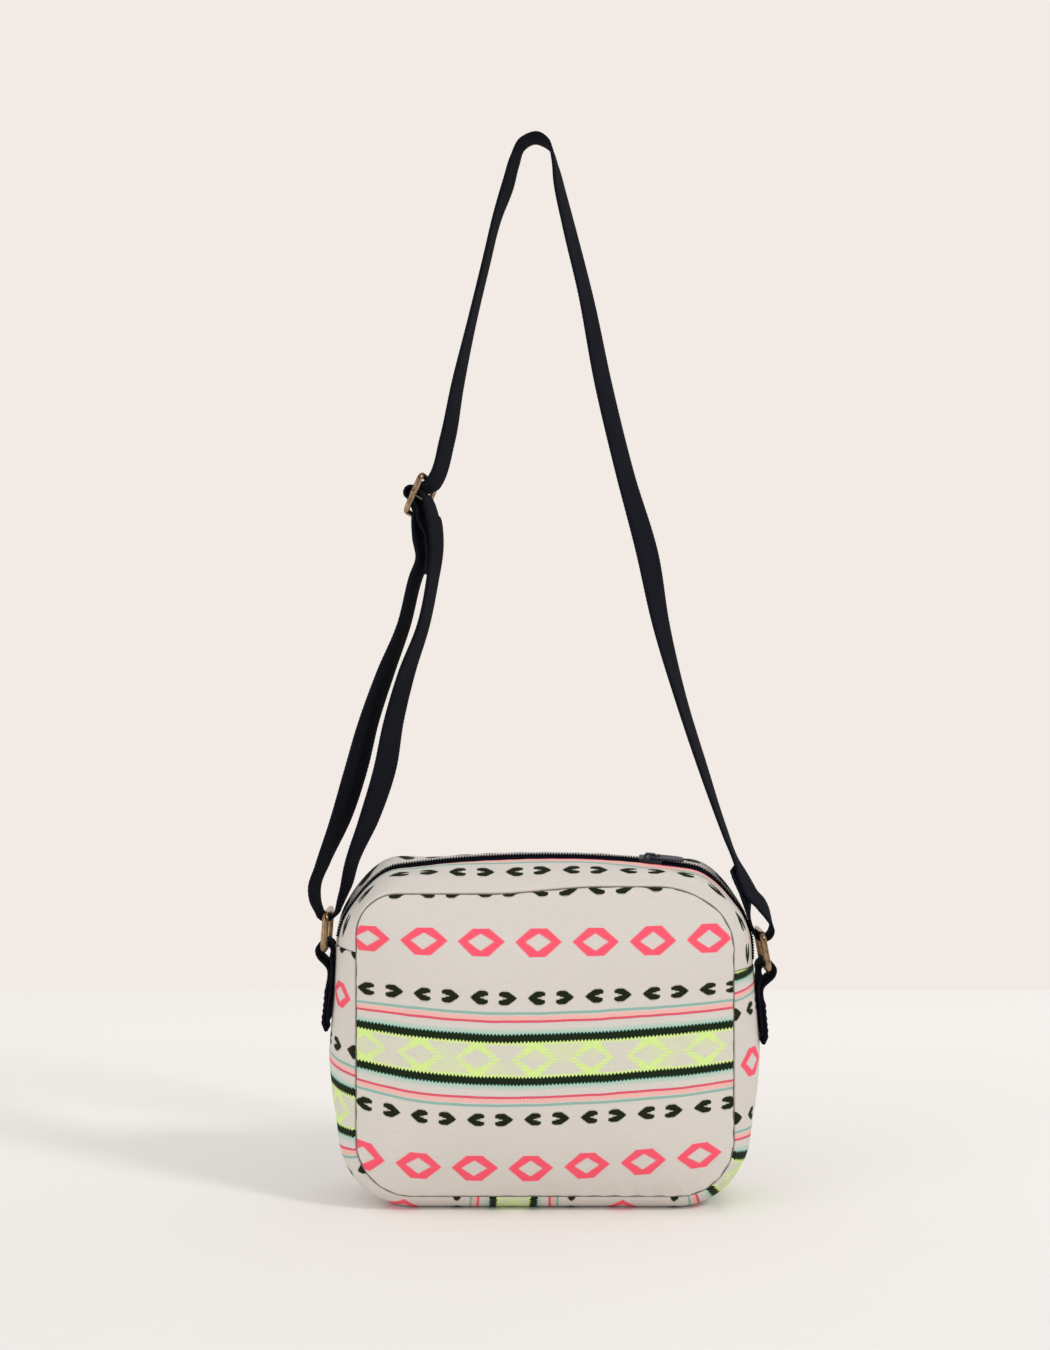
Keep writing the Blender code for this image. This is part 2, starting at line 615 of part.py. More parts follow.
def strap_loop(side):
    """Stops of the strap's turn under a ring's upper bar, from its left side to its right."""
    lift = STRAP_LOOP_RADIUS - WEBBING / 2.0 - RING_RADIUS - STRAP_LOOP_SLACK
    centre = upper_bar(side) + Vector((side["loop_shift"], 0.0, lift))
    stops = []
    for step in range(7):
        turn = math.radians(190.0 + 160.0 * step / 6.0)
        spot = centre + STRAP_LOOP_RADIUS * Vector((math.cos(turn), 0.0, math.sin(turn)))
        stops.append((spot, Vector((0.0, 1.0, 0.0))))
    return stops


def adjuster_stop(up, out):
    """A stop of the strap given from the adjuster's middle bar: up the frame, and out to its left."""
    across, width, upward = adjuster_axes()
    return adjuster_place() + upward * up - across * out, width


def bar_turn(bar_up, radius, start, end, steps):
    """Stops round one bar of the adjuster, with angles in degrees from up the frame to its left."""
    stops = []
    for step in range(steps + 1):
        turn = math.radians(blend(start, end, step / steps))
        stops.append(adjuster_stop(bar_up + radius * math.cos(turn), radius * math.sin(turn)))
    return stops


# The strap's free stretches, chosen by hand: drop from its top, stray to the right, and yaw of its width
TAIL_END = [(0.3953, -0.0041, 3), (0.4013, -0.0031, 3), (0.4079, -0.0019, 2)]
RIGHT_STRAND = [(0.4215, 0.0073, 2), (0.4160, 0.0054, 2), (0.4105, 0.0017, 2), (0.4005, -0.0010, 3),
                (0.3940, -0.0020, 4), (0.3757, -0.0041, 6), (0.3430, -0.0064, 14), (0.3037, -0.0083, 17),
                (0.2644, -0.0081, 24), (0.2251, -0.0051, 31), (0.1831, -0.0055, 26), (0.1339, -0.0041, 24),
                (0.0848, -0.0006, 20), (0.0495, 0.0003, 18), (0.0265, 0.0011, 14)]
CREST = [(0.0135, 0.0096, 8), (0.0038, 0.0036, 4), (0.0000, -0.0045, 0), (0.0033, -0.0109, 4),
         (0.0125, -0.0125, 8)]
UPPER_LEFT_STRAND = [(0.0245, -0.0126, 10), (0.0415, -0.0136, 6), (0.0685, -0.0127, 5), (0.1012, -0.0114, 6),
                     (0.1339, -0.0096, 11), (0.1645, -0.0069, 15)]
OUTER_STRAND = [(0.2175, -0.0080, 16), (0.2285, -0.0041, 14), (0.2382, -0.0026, 12), (0.2644, -0.0018, 14),
                (0.2906, -0.0052, 18), (0.3168, -0.0069, 21), (0.3430, -0.0066, 25), (0.3691, -0.0074, 22),
                (0.3945, -0.0105, 9), (0.4065, -0.0113, 4), (0.4135, -0.0089, 2)]
INNER_STRAND = [(0.4120, 0.0053, 2), (0.4065, 0.0057, 4), (0.3945, 0.0052, 9), (0.3691, 0.0080, 22),
                (0.3430, 0.0090, 25), (0.3168, 0.0066, 21), (0.2906, 0.0063, 18), (0.2644, 0.0071, 14),
                (0.2382, 0.0056, 12), (0.2265, 0.0040, 14), (0.2155, 0.0003, 15)]


def build_strap():
    """The strap, one length of webbing: sewn tail, right ring, crest, adjuster, left ring, adjuster."""
    bar = ADJUSTER_WIRE / 2.0
    sewn = bar + BAR_CLEARANCE + WEBBING / 2.0
    over = sewn + WEBBING + GAP
    past_end = bar + END_BAR_CLEARANCE + WEBBING / 2.0
    slant = math.degrees(math.asin((over + past_end) / BAR_PITCH))
    sewn_past_end = past_end + WEBBING + GAP
    sewn_slant = math.degrees(math.asin((sewn + sewn_past_end) / BAR_PITCH))
    layer = WEBBING + GAP
    route = [strand_stop(RIGHT, *stop) for stop in TAIL_END]
    route += strap_loop(RIGHT)
    route += [strand_stop(RIGHT, *stop) for stop in RIGHT_STRAND]
    route += [strand_stop(LEFT, *stop) for stop in CREST + UPPER_LEFT_STRAND]
    route += bar_turn(BAR_PITCH, past_end, -90.0, -90.0 - slant, 2)
    route += bar_turn(0.0, over, 90.0 - slant, 90.0 + slant, 4)
    route += bar_turn(-BAR_PITCH, past_end, slant - 90.0, -90.0, 2)
    route += [strand_stop(LEFT, *stop) for stop in OUTER_STRAND]
    route += strap_loop(LEFT)
    route += [strand_stop(LEFT, *stop) for stop in INNER_STRAND]
    route += [adjuster_stop(-BAR_PITCH * 0.75, -past_end - 3.0 * layer)]
    route += bar_turn(0.0, sewn, -50.0, 90.0 + sewn_slant, 7)
    route += bar_turn(-BAR_PITCH, sewn_past_end, sewn_slant - 90.0, -80.0, 2)
    lowest, middle, highest = INNER_STRAND[-3:]
    route += [strand_stop(LEFT, highest[0] + layer, highest[1] - layer, highest[2]),
              strand_stop(LEFT, middle[0], middle[1] - layer, middle[2]),
              strand_stop(LEFT, middle[0] + SEWN_END_LENGTH / 2.0, lowest[1] - layer, lowest[2])]
    ribbon("strap", route, STRAP_STEP)


def clear_scene():
    for item in list(bpy.data.objects):
        bpy.data.objects.remove(item, do_unlink=True)


def build_bag():
    clear_scene()
    build_cloth()
    build_lining()
    build_zip()
    frame = zip_frame()
    build_slider(frame)
    build_puller(frame)
    for word, side in (("left", LEFT), ("right", RIGHT)):
        build_ring("ring_" + word, side)
        build_tab("tab_" + word, side)
    build_adjuster()
    build_strap()
    bpy.context.view_layer.update()


build_bag()
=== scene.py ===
"""Looks of the zip-top crossbody bag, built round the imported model.

Metres. +X is to the right seen from the front, -Y is the front, +Z is up.
"""
import collections
import functools
import math

import bmesh
import bpy
import numpy
from mathutils import Matrix, Vector, noise


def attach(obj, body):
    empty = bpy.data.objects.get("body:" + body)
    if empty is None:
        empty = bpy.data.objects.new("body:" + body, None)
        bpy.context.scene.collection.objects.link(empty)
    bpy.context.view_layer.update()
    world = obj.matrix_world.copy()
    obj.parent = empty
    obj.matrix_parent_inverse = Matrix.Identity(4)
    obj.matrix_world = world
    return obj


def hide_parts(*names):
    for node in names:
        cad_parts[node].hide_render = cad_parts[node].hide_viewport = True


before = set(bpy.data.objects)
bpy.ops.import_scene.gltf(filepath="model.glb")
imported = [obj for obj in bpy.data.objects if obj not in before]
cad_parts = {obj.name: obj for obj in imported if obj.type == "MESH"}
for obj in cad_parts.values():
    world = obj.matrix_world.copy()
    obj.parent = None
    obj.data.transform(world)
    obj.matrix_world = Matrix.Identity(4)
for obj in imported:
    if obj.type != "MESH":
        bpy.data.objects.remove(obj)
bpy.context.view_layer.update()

# Bag body, as in the solids
SEAM_WIDTH = 0.200
SEAM_HEIGHT = 0.160
SEAM_DEPTH = 0.070
TOP_CORNER_RADIUS = 0.028
BOTTOM_CORNER_RADIUS = 0.030
CROWN_RADIUS = 0.520
PANEL_PUFF = 0.015
TOP_SWELL = 0.019
CORNER_SWELL = 0.013
SIDE_SWELL = 0.0165
BASE_SWELL = 0.008
SWELL_FULL_HEIGHT = 0.080
BASE_FLAT_SHARE = 0.55
CLOTH = 0.0016
TAPE = 0.0006
GAP = 0.0003

# Zip and its slider
ZIP_FORWARD = 0.008
ZIP_OPENING = 0.010
TAPE_REACH = 0.013
TAPE_SPLIT = 0.0008
RAIL_OUTER = 0.0032
ZIP_END_MARGIN = 0.003
COIL_PITCH = 0.0015
COIL_WIRE = 0.00042

# Webbing, rings and tabs
WEBBING_WIDTH = 0.025
WEBBING = 0.0016
RING_WIRE = 0.0036
RING_HEIGHT = 0.0223
RING_SIDE_CLEARANCE = 0.0015
RING_CORNER_RADIUS = 0.0031
TAB_LOOP_RADIUS = 0.0042
STRAP_LOOP_RADIUS = 0.0052
STRAP_LOOP_SLACK = 0.0008
LEFT = {"sign": -1.0, "end_seam": 0.0023, "tab_low": -0.0437, "bar_rise": 0.0012, "stand_off": 0.0004,
        "lean": math.radians(4.0), "loop_shift": 0.0, "strap_drop": 0.4199}
RIGHT = {"sign": 1.0, "end_seam": -0.0077, "tab_low": -0.0507, "bar_rise": -0.0094, "stand_off": 0.0020,
         "lean": math.radians(10.5), "loop_shift": 0.0016, "strap_drop": 0.4308}
STRAP_RISE = 0.4065
ADJUSTER_DROP = 0.1953
ADJUSTER_STRAY = -0.0123
ADJUSTER_HEIGHT = 0.0244
ADJUSTER_WIRE = 0.0032
ADJUSTER_SIDE_CLEARANCE = 0.0012
ADJUSTER_CORNER_RADIUS = 0.0026
ADJUSTER_LEAN = math.radians(22.9)
ADJUSTER_YAW = math.radians(15.4)
ADJUSTER_BAR_OVERHANG = 0.0005
BAR_CLEARANCE = 0.00035
END_BAR_CLEARANCE = 0.0009
LOOP_YAW = math.radians(2.0)
ADJUSTER_BULGE = 0.0018
SEWN_END_LENGTH = 0.022
TAB_INNER_STEP = 0.0048
TAB_END_LIFT = 0.0002
TAB_CORNER = 0.0030

# Worked out from the sizes above
HALF_WIDTH = SEAM_WIDTH / 2.0
HALF_DEPTH = SEAM_DEPTH / 2.0
SEAM_BOTTOM = BASE_SWELL
SEAM_TOP = SEAM_BOTTOM + SEAM_HEIGHT
SEAM_MIDDLE = (SEAM_BOTTOM + SEAM_TOP) / 2.0
STRAP_TOP = SEAM_TOP + STRAP_RISE
CORNER_X = HALF_WIDTH - TOP_CORNER_RADIUS
CROWN_Z = SEAM_TOP - CROWN_RADIUS
CORNER_Z = CROWN_Z + math.sqrt((CROWN_RADIUS - TOP_CORNER_RADIUS) ** 2 - CORNER_X ** 2)
CROWN_ANGLE = math.asin(CORNER_X / (CROWN_RADIUS - TOP_CORNER_RADIUS))
BASE_END = HALF_WIDTH - BOTTOM_CORNER_RADIUS
LOW_CORNER_END = BASE_END + BOTTOM_CORNER_RADIUS * math.pi / 2.0
SIDE_END = LOW_CORNER_END + CORNER_Z - SEAM_BOTTOM - BOTTOM_CORNER_RADIUS
HIGH_CORNER_END = SIDE_END + TOP_CORNER_RADIUS * (math.pi / 2.0 - CROWN_ANGLE)
HALF_SEAM = HIGH_CORNER_END + CROWN_RADIUS * CROWN_ANGLE
TAPE_TOP = CLOTH + GAP
RING_RADIUS = RING_WIRE / 2.0
RING_REACH = RING_HEIGHT - RING_WIRE
BAR_PITCH = (ADJUSTER_HEIGHT - ADJUSTER_WIRE) / 2.0
GUSSET_EDGE = HALF_DEPTH - GAP * math.sqrt(0.5)
ZIP_START = SIDE_END + RIGHT["end_seam"]
ZIP_END = 2.0 * HALF_SEAM - SIDE_END - LEFT["end_seam"]
SIDE_START = ZIP_END + GAP
SIDE_FINISH = 2.0 * HALF_SEAM + ZIP_START - GAP

# The sewn line of the panels: its own corners, and a top edge that rises a little to the right
SEWN_LEFT_RADIUS = 0.022
SEWN_RIGHT_RADIUS = 0.030
SEWN_TOP = 0.1682
SEWN_TOP_RISE = 0.0038
SEWN_RISE_SPAN = (-0.030, 0.030)
SEWN_FALL_SPAN = (0.060, 0.085)
SEWN_REACH = (-0.003, 0.014)
SEWN_HALVINGS = 24

# Form of the gusset's swell and of the puffed panels, as in the solids
CORNER_SWELL_SPAN = (0.15, 0.8)
GUSSET_LEAN_POWER = 8
PANEL_LEAN_POWER = 6
PANEL_PUFF_POWER = 3

# How the sewn cloth lies: edges rolled into the seams, and never thinner than this
SEAM_ROLL = 0.0019
FOLD_ROLL = 0.0009
EDGE_STEPS = (0.0, 0.06, 0.2, 0.42, 0.7, 1.0)
LEAST_CLOTH = 0.0004
CLOTH_STEP = 0.0024
TAPE_STEP = 0.002
PANEL_REACH = 0.090
SWELL_ARC = 1.35
BASE_CALM = 0.35
BASE_CALM_HEIGHT = 0.004

# Shallow waves over the cloth, and small gathers beside its seams; closeness is per metre
WAVE_HEIGHT = 0.0007
WIDE_CLOSENESS = 24.0
SMALL_CLOSENESS = 70.0
SMALL_SHARE = 0.35
SMALL_OFFSET = Vector((3.0, 5.0, 7.0))
WAVE_CALM = 0.012
PUCKER_HEIGHT = 0.00028
PUCKER_PITCH = 0.011
PUCKER_REACH = 0.009
PUCKER_WANDER = 3.5
WANDER_CLOSENESS = 26.0
STRENGTH_CLOSENESS = 14.0
STRENGTH_OFFSET = Vector((9.0, 1.0, 4.0))
LEAST_PUCKER = 0.35
PUCKER_RANGE = 1.3
FOLD_CALM = 0.012

# The weave, in millimetres on the cloth
REPEAT = 119.0
MOTIF_PITCH = 30.2
WARP_PITCH = 1.15
WEFT_PITCH = 0.62
STEP_ALONG = 0.58
TOOTH = 1.88
ARROW_ROW = 31.3
DIAMOND_ROW = 59.5

# Colours as the bag shows them, in linear light
GREIGE = (0.640, 0.599, 0.553)
PINK = (0.905, 0.085, 0.145)
ROSE = (0.690, 0.100, 0.150)
LIGHT_PINK = (0.880, 0.400, 0.360)
FOREST = (0.010, 0.020, 0.008)
OLIVE = (0.012, 0.017, 0.006)
TEAL = (0.200, 0.420, 0.350)
MINT = (0.230, 0.560, 0.440)
LIME = (0.640, 0.850, 0.240)
NAVY = (0.0060, 0.0066, 0.0112)
BRASS = (0.200, 0.135, 0.080)


def ease(low, high, value):
    """0 below low, 1 above high, with an even curve between."""
    share = min(max((value - low) / (high - low), 0.0), 1.0)
    return share * share * (3.0 - 2.0 * share)


def blend(first, second, share):
    return first + (second - first) * share


def bell(value):
    """1 at zero, falling evenly to nothing at 1 and -1."""
    return 1.0 - ease(0.0, 1.0, abs(value))


# Seam line and the two surfaces that grow from it, as in the solids
def seam_at(length):
    """Point and outward direction (x, z, out x, out z), from the base's centre, right side first."""
    length %= 2.0 * HALF_SEAM
    if length > HALF_SEAM:
        x, z, out_x, out_z = seam_at(2.0 * HALF_SEAM - length)
        return -x, z, -out_x, out_z
    if length < BASE_END:
        return length, SEAM_BOTTOM, 0.0, -1.0
    if length < LOW_CORNER_END:
        turn = (length - BASE_END) / BOTTOM_CORNER_RADIUS - math.pi / 2.0
        centre = (BASE_END, SEAM_BOTTOM + BOTTOM_CORNER_RADIUS)
        radius = BOTTOM_CORNER_RADIUS
    elif length < SIDE_END:
        return HALF_WIDTH, CORNER_Z - (SIDE_END - length), 1.0, 0.0
    elif length < HIGH_CORNER_END:
        turn = (length - SIDE_END) / TOP_CORNER_RADIUS
        centre = (CORNER_X, CORNER_Z)
        radius = TOP_CORNER_RADIUS
    else:
        turn = math.pi / 2.0 - (HALF_SEAM - length) / CROWN_RADIUS
        centre = (0.0, CROWN_Z)
        radius = CROWN_RADIUS
    out_x, out_z = math.cos(turn), math.sin(turn)
    return centre[0] + radius * out_x, centre[1] + radius * out_z, out_x, out_z


def past_sewn_line(x, z):
    """Distance outside the rounded outline that the panels are sewn to."""
    radius = SEWN_LEFT_RADIUS if x < 0.0 else SEWN_RIGHT_RADIUS
    rise = SEWN_TOP_RISE * ease(*SEWN_RISE_SPAN, x) * (1.0 - ease(*SEWN_FALL_SPAN, x))
    across, up = abs(x) - (HALF_WIDTH - radius), z - (SEWN_TOP + rise - radius)
    if across > 0.0 and up > 0.0:
        return math.hypot(across, up) - radius
    return max(across, up) - radius


@functools.lru_cache(maxsize=None)
def sewn_out(length):
    """How far the sewn line lies outside the plain seam line."""
    x, z, out_x, out_z = seam_at(length)
    if z < CORNER_Z:
        return 0.0
    low, high = SEWN_REACH
    for _ in range(SEWN_HALVINGS):
        middle = (low + high) / 2.0
        if past_sewn_line(x + out_x * middle, z + out_z * middle) < 0.0:
            low = middle
        else:
            high = middle
    return low


def swell_at(x, z):
    """How far the gusset stands out at mid-depth, and how much of the flat base's form it has."""
    base_share = 1.0 - ease(SEAM_BOTTOM, SWELL_FULL_HEIGHT, z)
    upper = blend(SIDE_SWELL, CORNER_SWELL, ease(SWELL_FULL_HEIGHT, CORNER_Z, z))
    if z > CORNER_Z:
        start, full = (CORNER_X + TOP_CORNER_RADIUS * share for share in CORNER_SWELL_SPAN)
        upper = blend(TOP_SWELL, CORNER_SWELL, ease(start, full, abs(x)))
    return blend(upper, BASE_SWELL, base_share), base_share


def profile(across, base_share):
    """Height of the gusset's swell, 0 to 1, where across is -1 at the front seam and 1 at the back."""
    rounded = 1.0 - across * across
    past_flat = max(abs(across) - BASE_FLAT_SHARE, 0.0) / (1.0 - BASE_FLAT_SHARE)
    return blend(rounded, 1.0 - past_flat * past_flat, base_share)


def gusset_point(length, y, inset):
    """A point of the gusset, sunk below its outer face by inset along the face's own direction."""
    x, z, out_x, out_z = seam_at(length)
    swell, base_share = swell_at(x, z)
    edge = sewn_out(length)
    across = y / HALF_DEPTH
    step = 0.001
    slope = (profile(across - step, base_share) - profile(across + step, base_share)) / (2.0 * step)
    lean = math.atan((swell - edge) * slope / HALF_DEPTH)
    lean = blend(lean, math.copysign(math.pi / 4.0, across), abs(across) ** GUSSET_LEAN_POWER)
    out = edge + (swell - edge) * profile(across, base_share) - inset * math.cos(lean)
    return Vector((x + out_x * out, y - inset * math.sin(lean), z + out_z * out))


def panel_point(length, share, inset, side):
    """A point of a puffed panel, where share is 1 at the seam and 0 at the centre."""
    x, z, out_x, out_z = seam_at(length)
    edge = sewn_out(length)
    x, z = x + out_x * edge, z + out_z * edge
    lean = math.pi / 4.0 * share ** PANEL_LEAN_POWER
    inward = inset * math.sin(lean)
    y = HALF_DEPTH + PANEL_PUFF * (1.0 - share ** PANEL_PUFF_POWER) - inset * math.cos(lean)
    return Vector((x * share - out_x * inward, side * y,
                   SEAM_MIDDLE + (z - SEAM_MIDDLE) * share - out_z * inward))


# Meshes
def add_object(name, data):
    """A new object at the origin for a mesh, a lamp or a camera."""
    made = bpy.data.objects.new(name, data)
    bpy.context.scene.collection.objects.link(made)
    return made


def finish_mesh(name, work, places=None):
    """Turn a bmesh into a smooth object at the origin, with its pattern places in a UV map."""
    mesh = bpy.data.meshes.new(name)
    work.normal_update()
    work.to_mesh(mesh)
    work.free()
    mesh.shade_smooth()
    if places is not None:
        layer = mesh.uv_layers.new(name="weave")
        corners = numpy.zeros(len(mesh.loops), dtype=numpy.int32)
        mesh.loops.foreach_get("vertex_index", corners)
        layer.data.foreach_set("uv", numpy.array(places, dtype=numpy.float32)[corners].ravel())
    return add_object(name, mesh)


def evaluated_mesh(name, holder):
    """What an object's modifiers make of it, as a plain mesh."""
    depsgraph = bpy.context.evaluated_depsgraph_get()
    plain = bpy.data.meshes.new_from_object(holder.evaluated_get(depsgraph), depsgraph=depsgraph)
    plain.name = name
    return plain


def skin(work, loops, closed=False):
    """Faces between loops of vertices in a row; a row that isn't closed gets a cap at both ends."""
    faces = []
    count = len(loops[0])
    for near, far in zip(loops, loops[1:] + loops[:closed]):
        for index in range(count):
            after = (index + 1) % count
            faces.append(work.faces.new((near[index], near[after], far[after], far[index])))
    if not closed:
        faces.append(work.faces.new(list(reversed(loops[0]))))
        faces.append(work.faces.new(loops[-1]))
    bmesh.ops.recalc_face_normals(work, faces=faces)


def shell(name, top, bottom, places, centre=None):
    """A thin closed sheet between two grids of points, given row by row, with the top face outwards.

    With a centre (top point, bottom point, pattern place) the rows are rings that close on it.
    """
    wraps = centre is not None
    work = bmesh.new()
    rows, columns = len(top), len(top[0])
    upper = [[work.verts.new(point) for point in row] for row in top]
    lower = [[work.verts.new(point) for point in row] for row in bottom]
    spans = columns if wraps else columns - 1
    for row in range(rows - 1):
        for column in range(spans):
            after = (column + 1) % columns
            near, far = upper[row], upper[row + 1]
            work.faces.new((near[column], near[after], far[after], far[column]))
            near, far = lower[row], lower[row + 1]
            work.faces.new((far[column], far[after], near[after], near[column]))
    for column in range(spans):
        after = (column + 1) % columns
        work.faces.new((lower[0][column], lower[0][after], upper[0][after], upper[0][column]))
        if not wraps:
            work.faces.new((upper[-1][column], upper[-1][after], lower[-1][after], lower[-1][column]))
    flat = [place for row in places for place in row]
    flat += flat
    if wraps:
        for ring, point in ((upper[-1], centre[0]), (lower[-1], centre[1])):
            middle = work.verts.new(point)
            for column in range(columns):
                work.faces.new((ring[column], ring[(column + 1) % columns], middle))
            flat.append(centre[2])
    else:
        for row in range(rows - 1):
            work.faces.new((upper[row][0], upper[row + 1][0], lower[row + 1][0], lower[row][0]))
            work.faces.new((lower[row][-1], lower[row + 1][-1], upper[row + 1][-1], upper[row][-1]))
    bmesh.ops.recalc_face_normals(work, faces=work.faces)
    return finish_mesh(name, work, flat)


def rolled(distance, radius):
    """How deep a sewn edge lies below the cloth's face, this far from the seam."""
    if distance >= radius:
        return 0.0
    return radius - math.sqrt(max(radius ** 2 - (radius - distance) ** 2, 0.0))


def cloth_waves(point, along, distance, from_seam):
    """Depth of the cloth's shallow waves, and of the small gathers beside a seam."""
    wide = noise.noise(point * WIDE_CLOSENESS) * WAVE_HEIGHT
    small = noise.noise(point * SMALL_CLOSENESS + SMALL_OFFSET) * WAVE_HEIGHT * SMALL_SHARE
    beat = math.sin(math.tau * along / PUCKER_PITCH + PUCKER_WANDER * noise.noise(point * WANDER_CLOSENESS))
    beat *= LEAST_PUCKER + PUCKER_RANGE * abs(noise.noise(point * STRENGTH_CLOSENESS + STRENGTH_OFFSET))
    gathers = beat * PUCKER_HEIGHT * math.exp(-from_seam / PUCKER_REACH)
    return (wide + small) * ease(0.0, WAVE_CALM, distance) + gathers


def even(start, end, step):
    """Evenly spaced values from start to end, no further apart than step."""
    count = max(1, math.ceil(abs(end - start) / step))
    return [blend(start, end, index / count) for index in range(count + 1)]


def with_edges(values, radius):
    """The same values with close ones added near both ends, where an edge is rolled."""
    start, end = values[0], values[-1]
    margin = radius * 1.3
    inner = [value for value in values if start + margin < value < end - margin]
    return ([start + radius * step for step in EDGE_STEPS] + inner
            + [end - radius * step for step in reversed(EDGE_STEPS)])


# Places of the pattern on each piece of cloth, in metres
CROWDING = 1.010
STRIPE_HEIGHT = 0.0829
TOP_ROW_HEIGHT = 0.1437
LOW_ROW_HEIGHT = 0.0250
LOW_ARROW_HEIGHT = 0.0516
FRONT_HEIGHTS = (-0.030, LOW_ROW_HEIGHT, LOW_ARROW_HEIGHT, STRIPE_HEIGHT, TOP_ROW_HEIGHT, 0.2)
FRONT_PLACES = (-0.1157, -0.0595, -0.0313, 0.0, 0.0595, 0.1209)
# How the front panel's rows sag towards the middle, from the lowest row to the top seam
SAG_CENTRE = -0.0157
SAG_LEFT = 0.0825
SAG_RIGHT = 0.1130
ROW_HEIGHTS = (0.008, 0.025, 0.052, 0.083, 0.114, 0.1437, 0.168)
LEFT_SAGS = (0.0055, 0.0060, 0.0075, 0.0067, 0.0044, 0.0018, -0.0015)
RIGHT_SAGS = (0.0080, 0.0088, 0.0066, 0.0058, 0.0050, 0.0008, 0.0050)
LEFT_POWERS = (2.8, 2.9, 3.4, 1.9, 1.5, 1.4, 1.0)
RIGHT_POWER = 1.35
# How its columns lean, and crowd together lower down
COLUMN_CENTRE = -0.0056
COLUMN_LEAN = 0.034
LEAN_HEIGHT = 0.0836
LOW_CROWDING = 0.018
CROWDING_TOP = 0.100
CROWDING_DEPTH = 0.074
# The back panel
BACK_SAG = 0.0035
BACK_SHIFT = 0.0082
BACK_HEIGHT = 0.0940


def front_weave(point):
    """Pattern place on the front panel: the rows sag between their ends and the columns lean a little."""
    if point.x < SAG_CENTRE:
        share = (SAG_CENTRE - point.x) / SAG_LEFT
        sags, power = LEFT_SAGS, numpy.interp(point.z, ROW_HEIGHTS, LEFT_POWERS)
    else:
        share = (point.x - SAG_CENTRE) / SAG_RIGHT
        sags, power = RIGHT_SAGS, RIGHT_POWER
    sag = numpy.interp(point.z, ROW_HEIGHTS, sags) * share ** power
    rise = numpy.interp(point.z - sag, FRONT_HEIGHTS, FRONT_PLACES)
    centre = COLUMN_CENTRE + COLUMN_LEAN * (point.z - LEAN_HEIGHT)
    crowding = CROWDING + LOW_CROWDING * min(max((CROWDING_TOP - point.z) / CROWDING_DEPTH, 0.0), 1.0)
    return (point.x - centre) * crowding, rise


def back_weave(point):
    """Pattern place on the back panel, cut from another part of the cloth."""
    sag = BACK_SAG * (point.x / HALF_WIDTH) ** 2
    return -point.x * CROWDING + BACK_SHIFT, point.z - sag - BACK_HEIGHT


def across_arc(y, length):
    """Length over the gusset's swell from mid-depth to y."""
    least_swell, level = 0.001, 1e-6
    swell = max(swell_at(*seam_at(length)[:2])[0] - sewn_out(length), least_swell)
    slope = 2.0 * swell * abs(y) / HALF_DEPTH ** 2
    if slope < level:
        return y
    arc = (slope * math.sqrt(1.0 + slope * slope) + math.asinh(slope)) * HALF_DEPTH ** 2 / (4.0 * swell)
    return math.copysign(arc, y)


# The side gusset: where its pattern starts, and how its rows climb towards its middle on either side
SIDE_SHIFT = 0.0225
SIDE_PLACE = 0.0313
SIDE_START_RUN = 0.1831
SIDE_CROWDING = 1.037
RIGHT_CLIMB = 0.0035
RIGHT_CLIMB_SPAN = (0.060, 0.105)
LEFT_CLIMB = 0.0022
LEFT_EXTRA_CLIMB = 0.0030
LEFT_CLIMB_SPAN = (0.036, 0.062)
LEFT_DIP = 0.0028
LEFT_DIP_HEIGHT = 0.095
LEFT_DIP_REACH = 0.045


def side_weave(length, y):
    """Pattern place on the side gusset, whose rows run across it and climb a little towards its middle."""
    x, z = seam_at(length)[:2]
    from_right = length - 2.0 * HALF_SEAM
    if x > 0.0:
        climb = RIGHT_CLIMB * ease(*RIGHT_CLIMB_SPAN, z)
    else:
        climb = LEFT_CLIMB + LEFT_EXTRA_CLIMB * ease(*LEFT_CLIMB_SPAN, z)
    climb *= (1.0 - abs(y) / HALF_DEPTH) * math.copysign(1.0, x)
    if x < 0.0:
        climb -= LEFT_DIP * bell((z - LEFT_DIP_HEIGHT) / LEFT_DIP_REACH)
    return (across_arc(y, length) + SIDE_SHIFT,
            SIDE_PLACE + (SIDE_START_RUN - from_right) * SIDE_CROWDING + climb)


# The strips beside the zip, with runs from the crown's middle to the left: how the rows of the front one
# spread towards its corners and wander, and where its arrows are pressed flat
ZIP_FRONT_EDGE = ZIP_FORWARD + ZIP_OPENING / 2.0
ZIP_REAR_EDGE = ZIP_OPENING / 2.0 - ZIP_FORWARD
TOP_CROWDING = 1.020
FRONT_TOP_SHIFT = 0.0136
FRONT_TOP_PLACE = 0.0192
REAR_TOP_SHIFT = 0.0724
REAR_TOP_PLACE = 0.0262
CORNER_SPREAD = 0.0065
RIGHT_CORNER_SPAN = (0.045, 0.085)
LEFT_CORNER_SPAN = (0.060, 0.095)
RIGHT_SPREAD = 0.0020
RIGHT_SPREAD_SPAN = (0.020, 0.060)
ROW_WANDER = 0.0006
ROW_WANDER_CLOSENESS = 45.0
PRESS = 0.9
PRESS_RUN = 0.058
PRESS_REACH = 0.034
PRESS_HEIGHT = 0.009
# Folds and puffs beside the top corners: run, reach along it, and strength
FRONT_FOLDS = ((0.062, 0.042, 1.35), (-0.066, 0.016, 0.8))
FRONT_FOLD_DEPTH = 0.0013
FRONT_FOLD_MIDDLE = -0.0200
FRONT_FOLD_PITCH = 0.016
FRONT_FOLD_REACH = 0.014
REAR_PUFFS = ((-0.085, 0.034, 0.0043), (0.084, 0.030, 0.0024))
REAR_PUFF_PEAK = 0.0095
REAR_PUFF_SPAN = (0.020, 0.034)


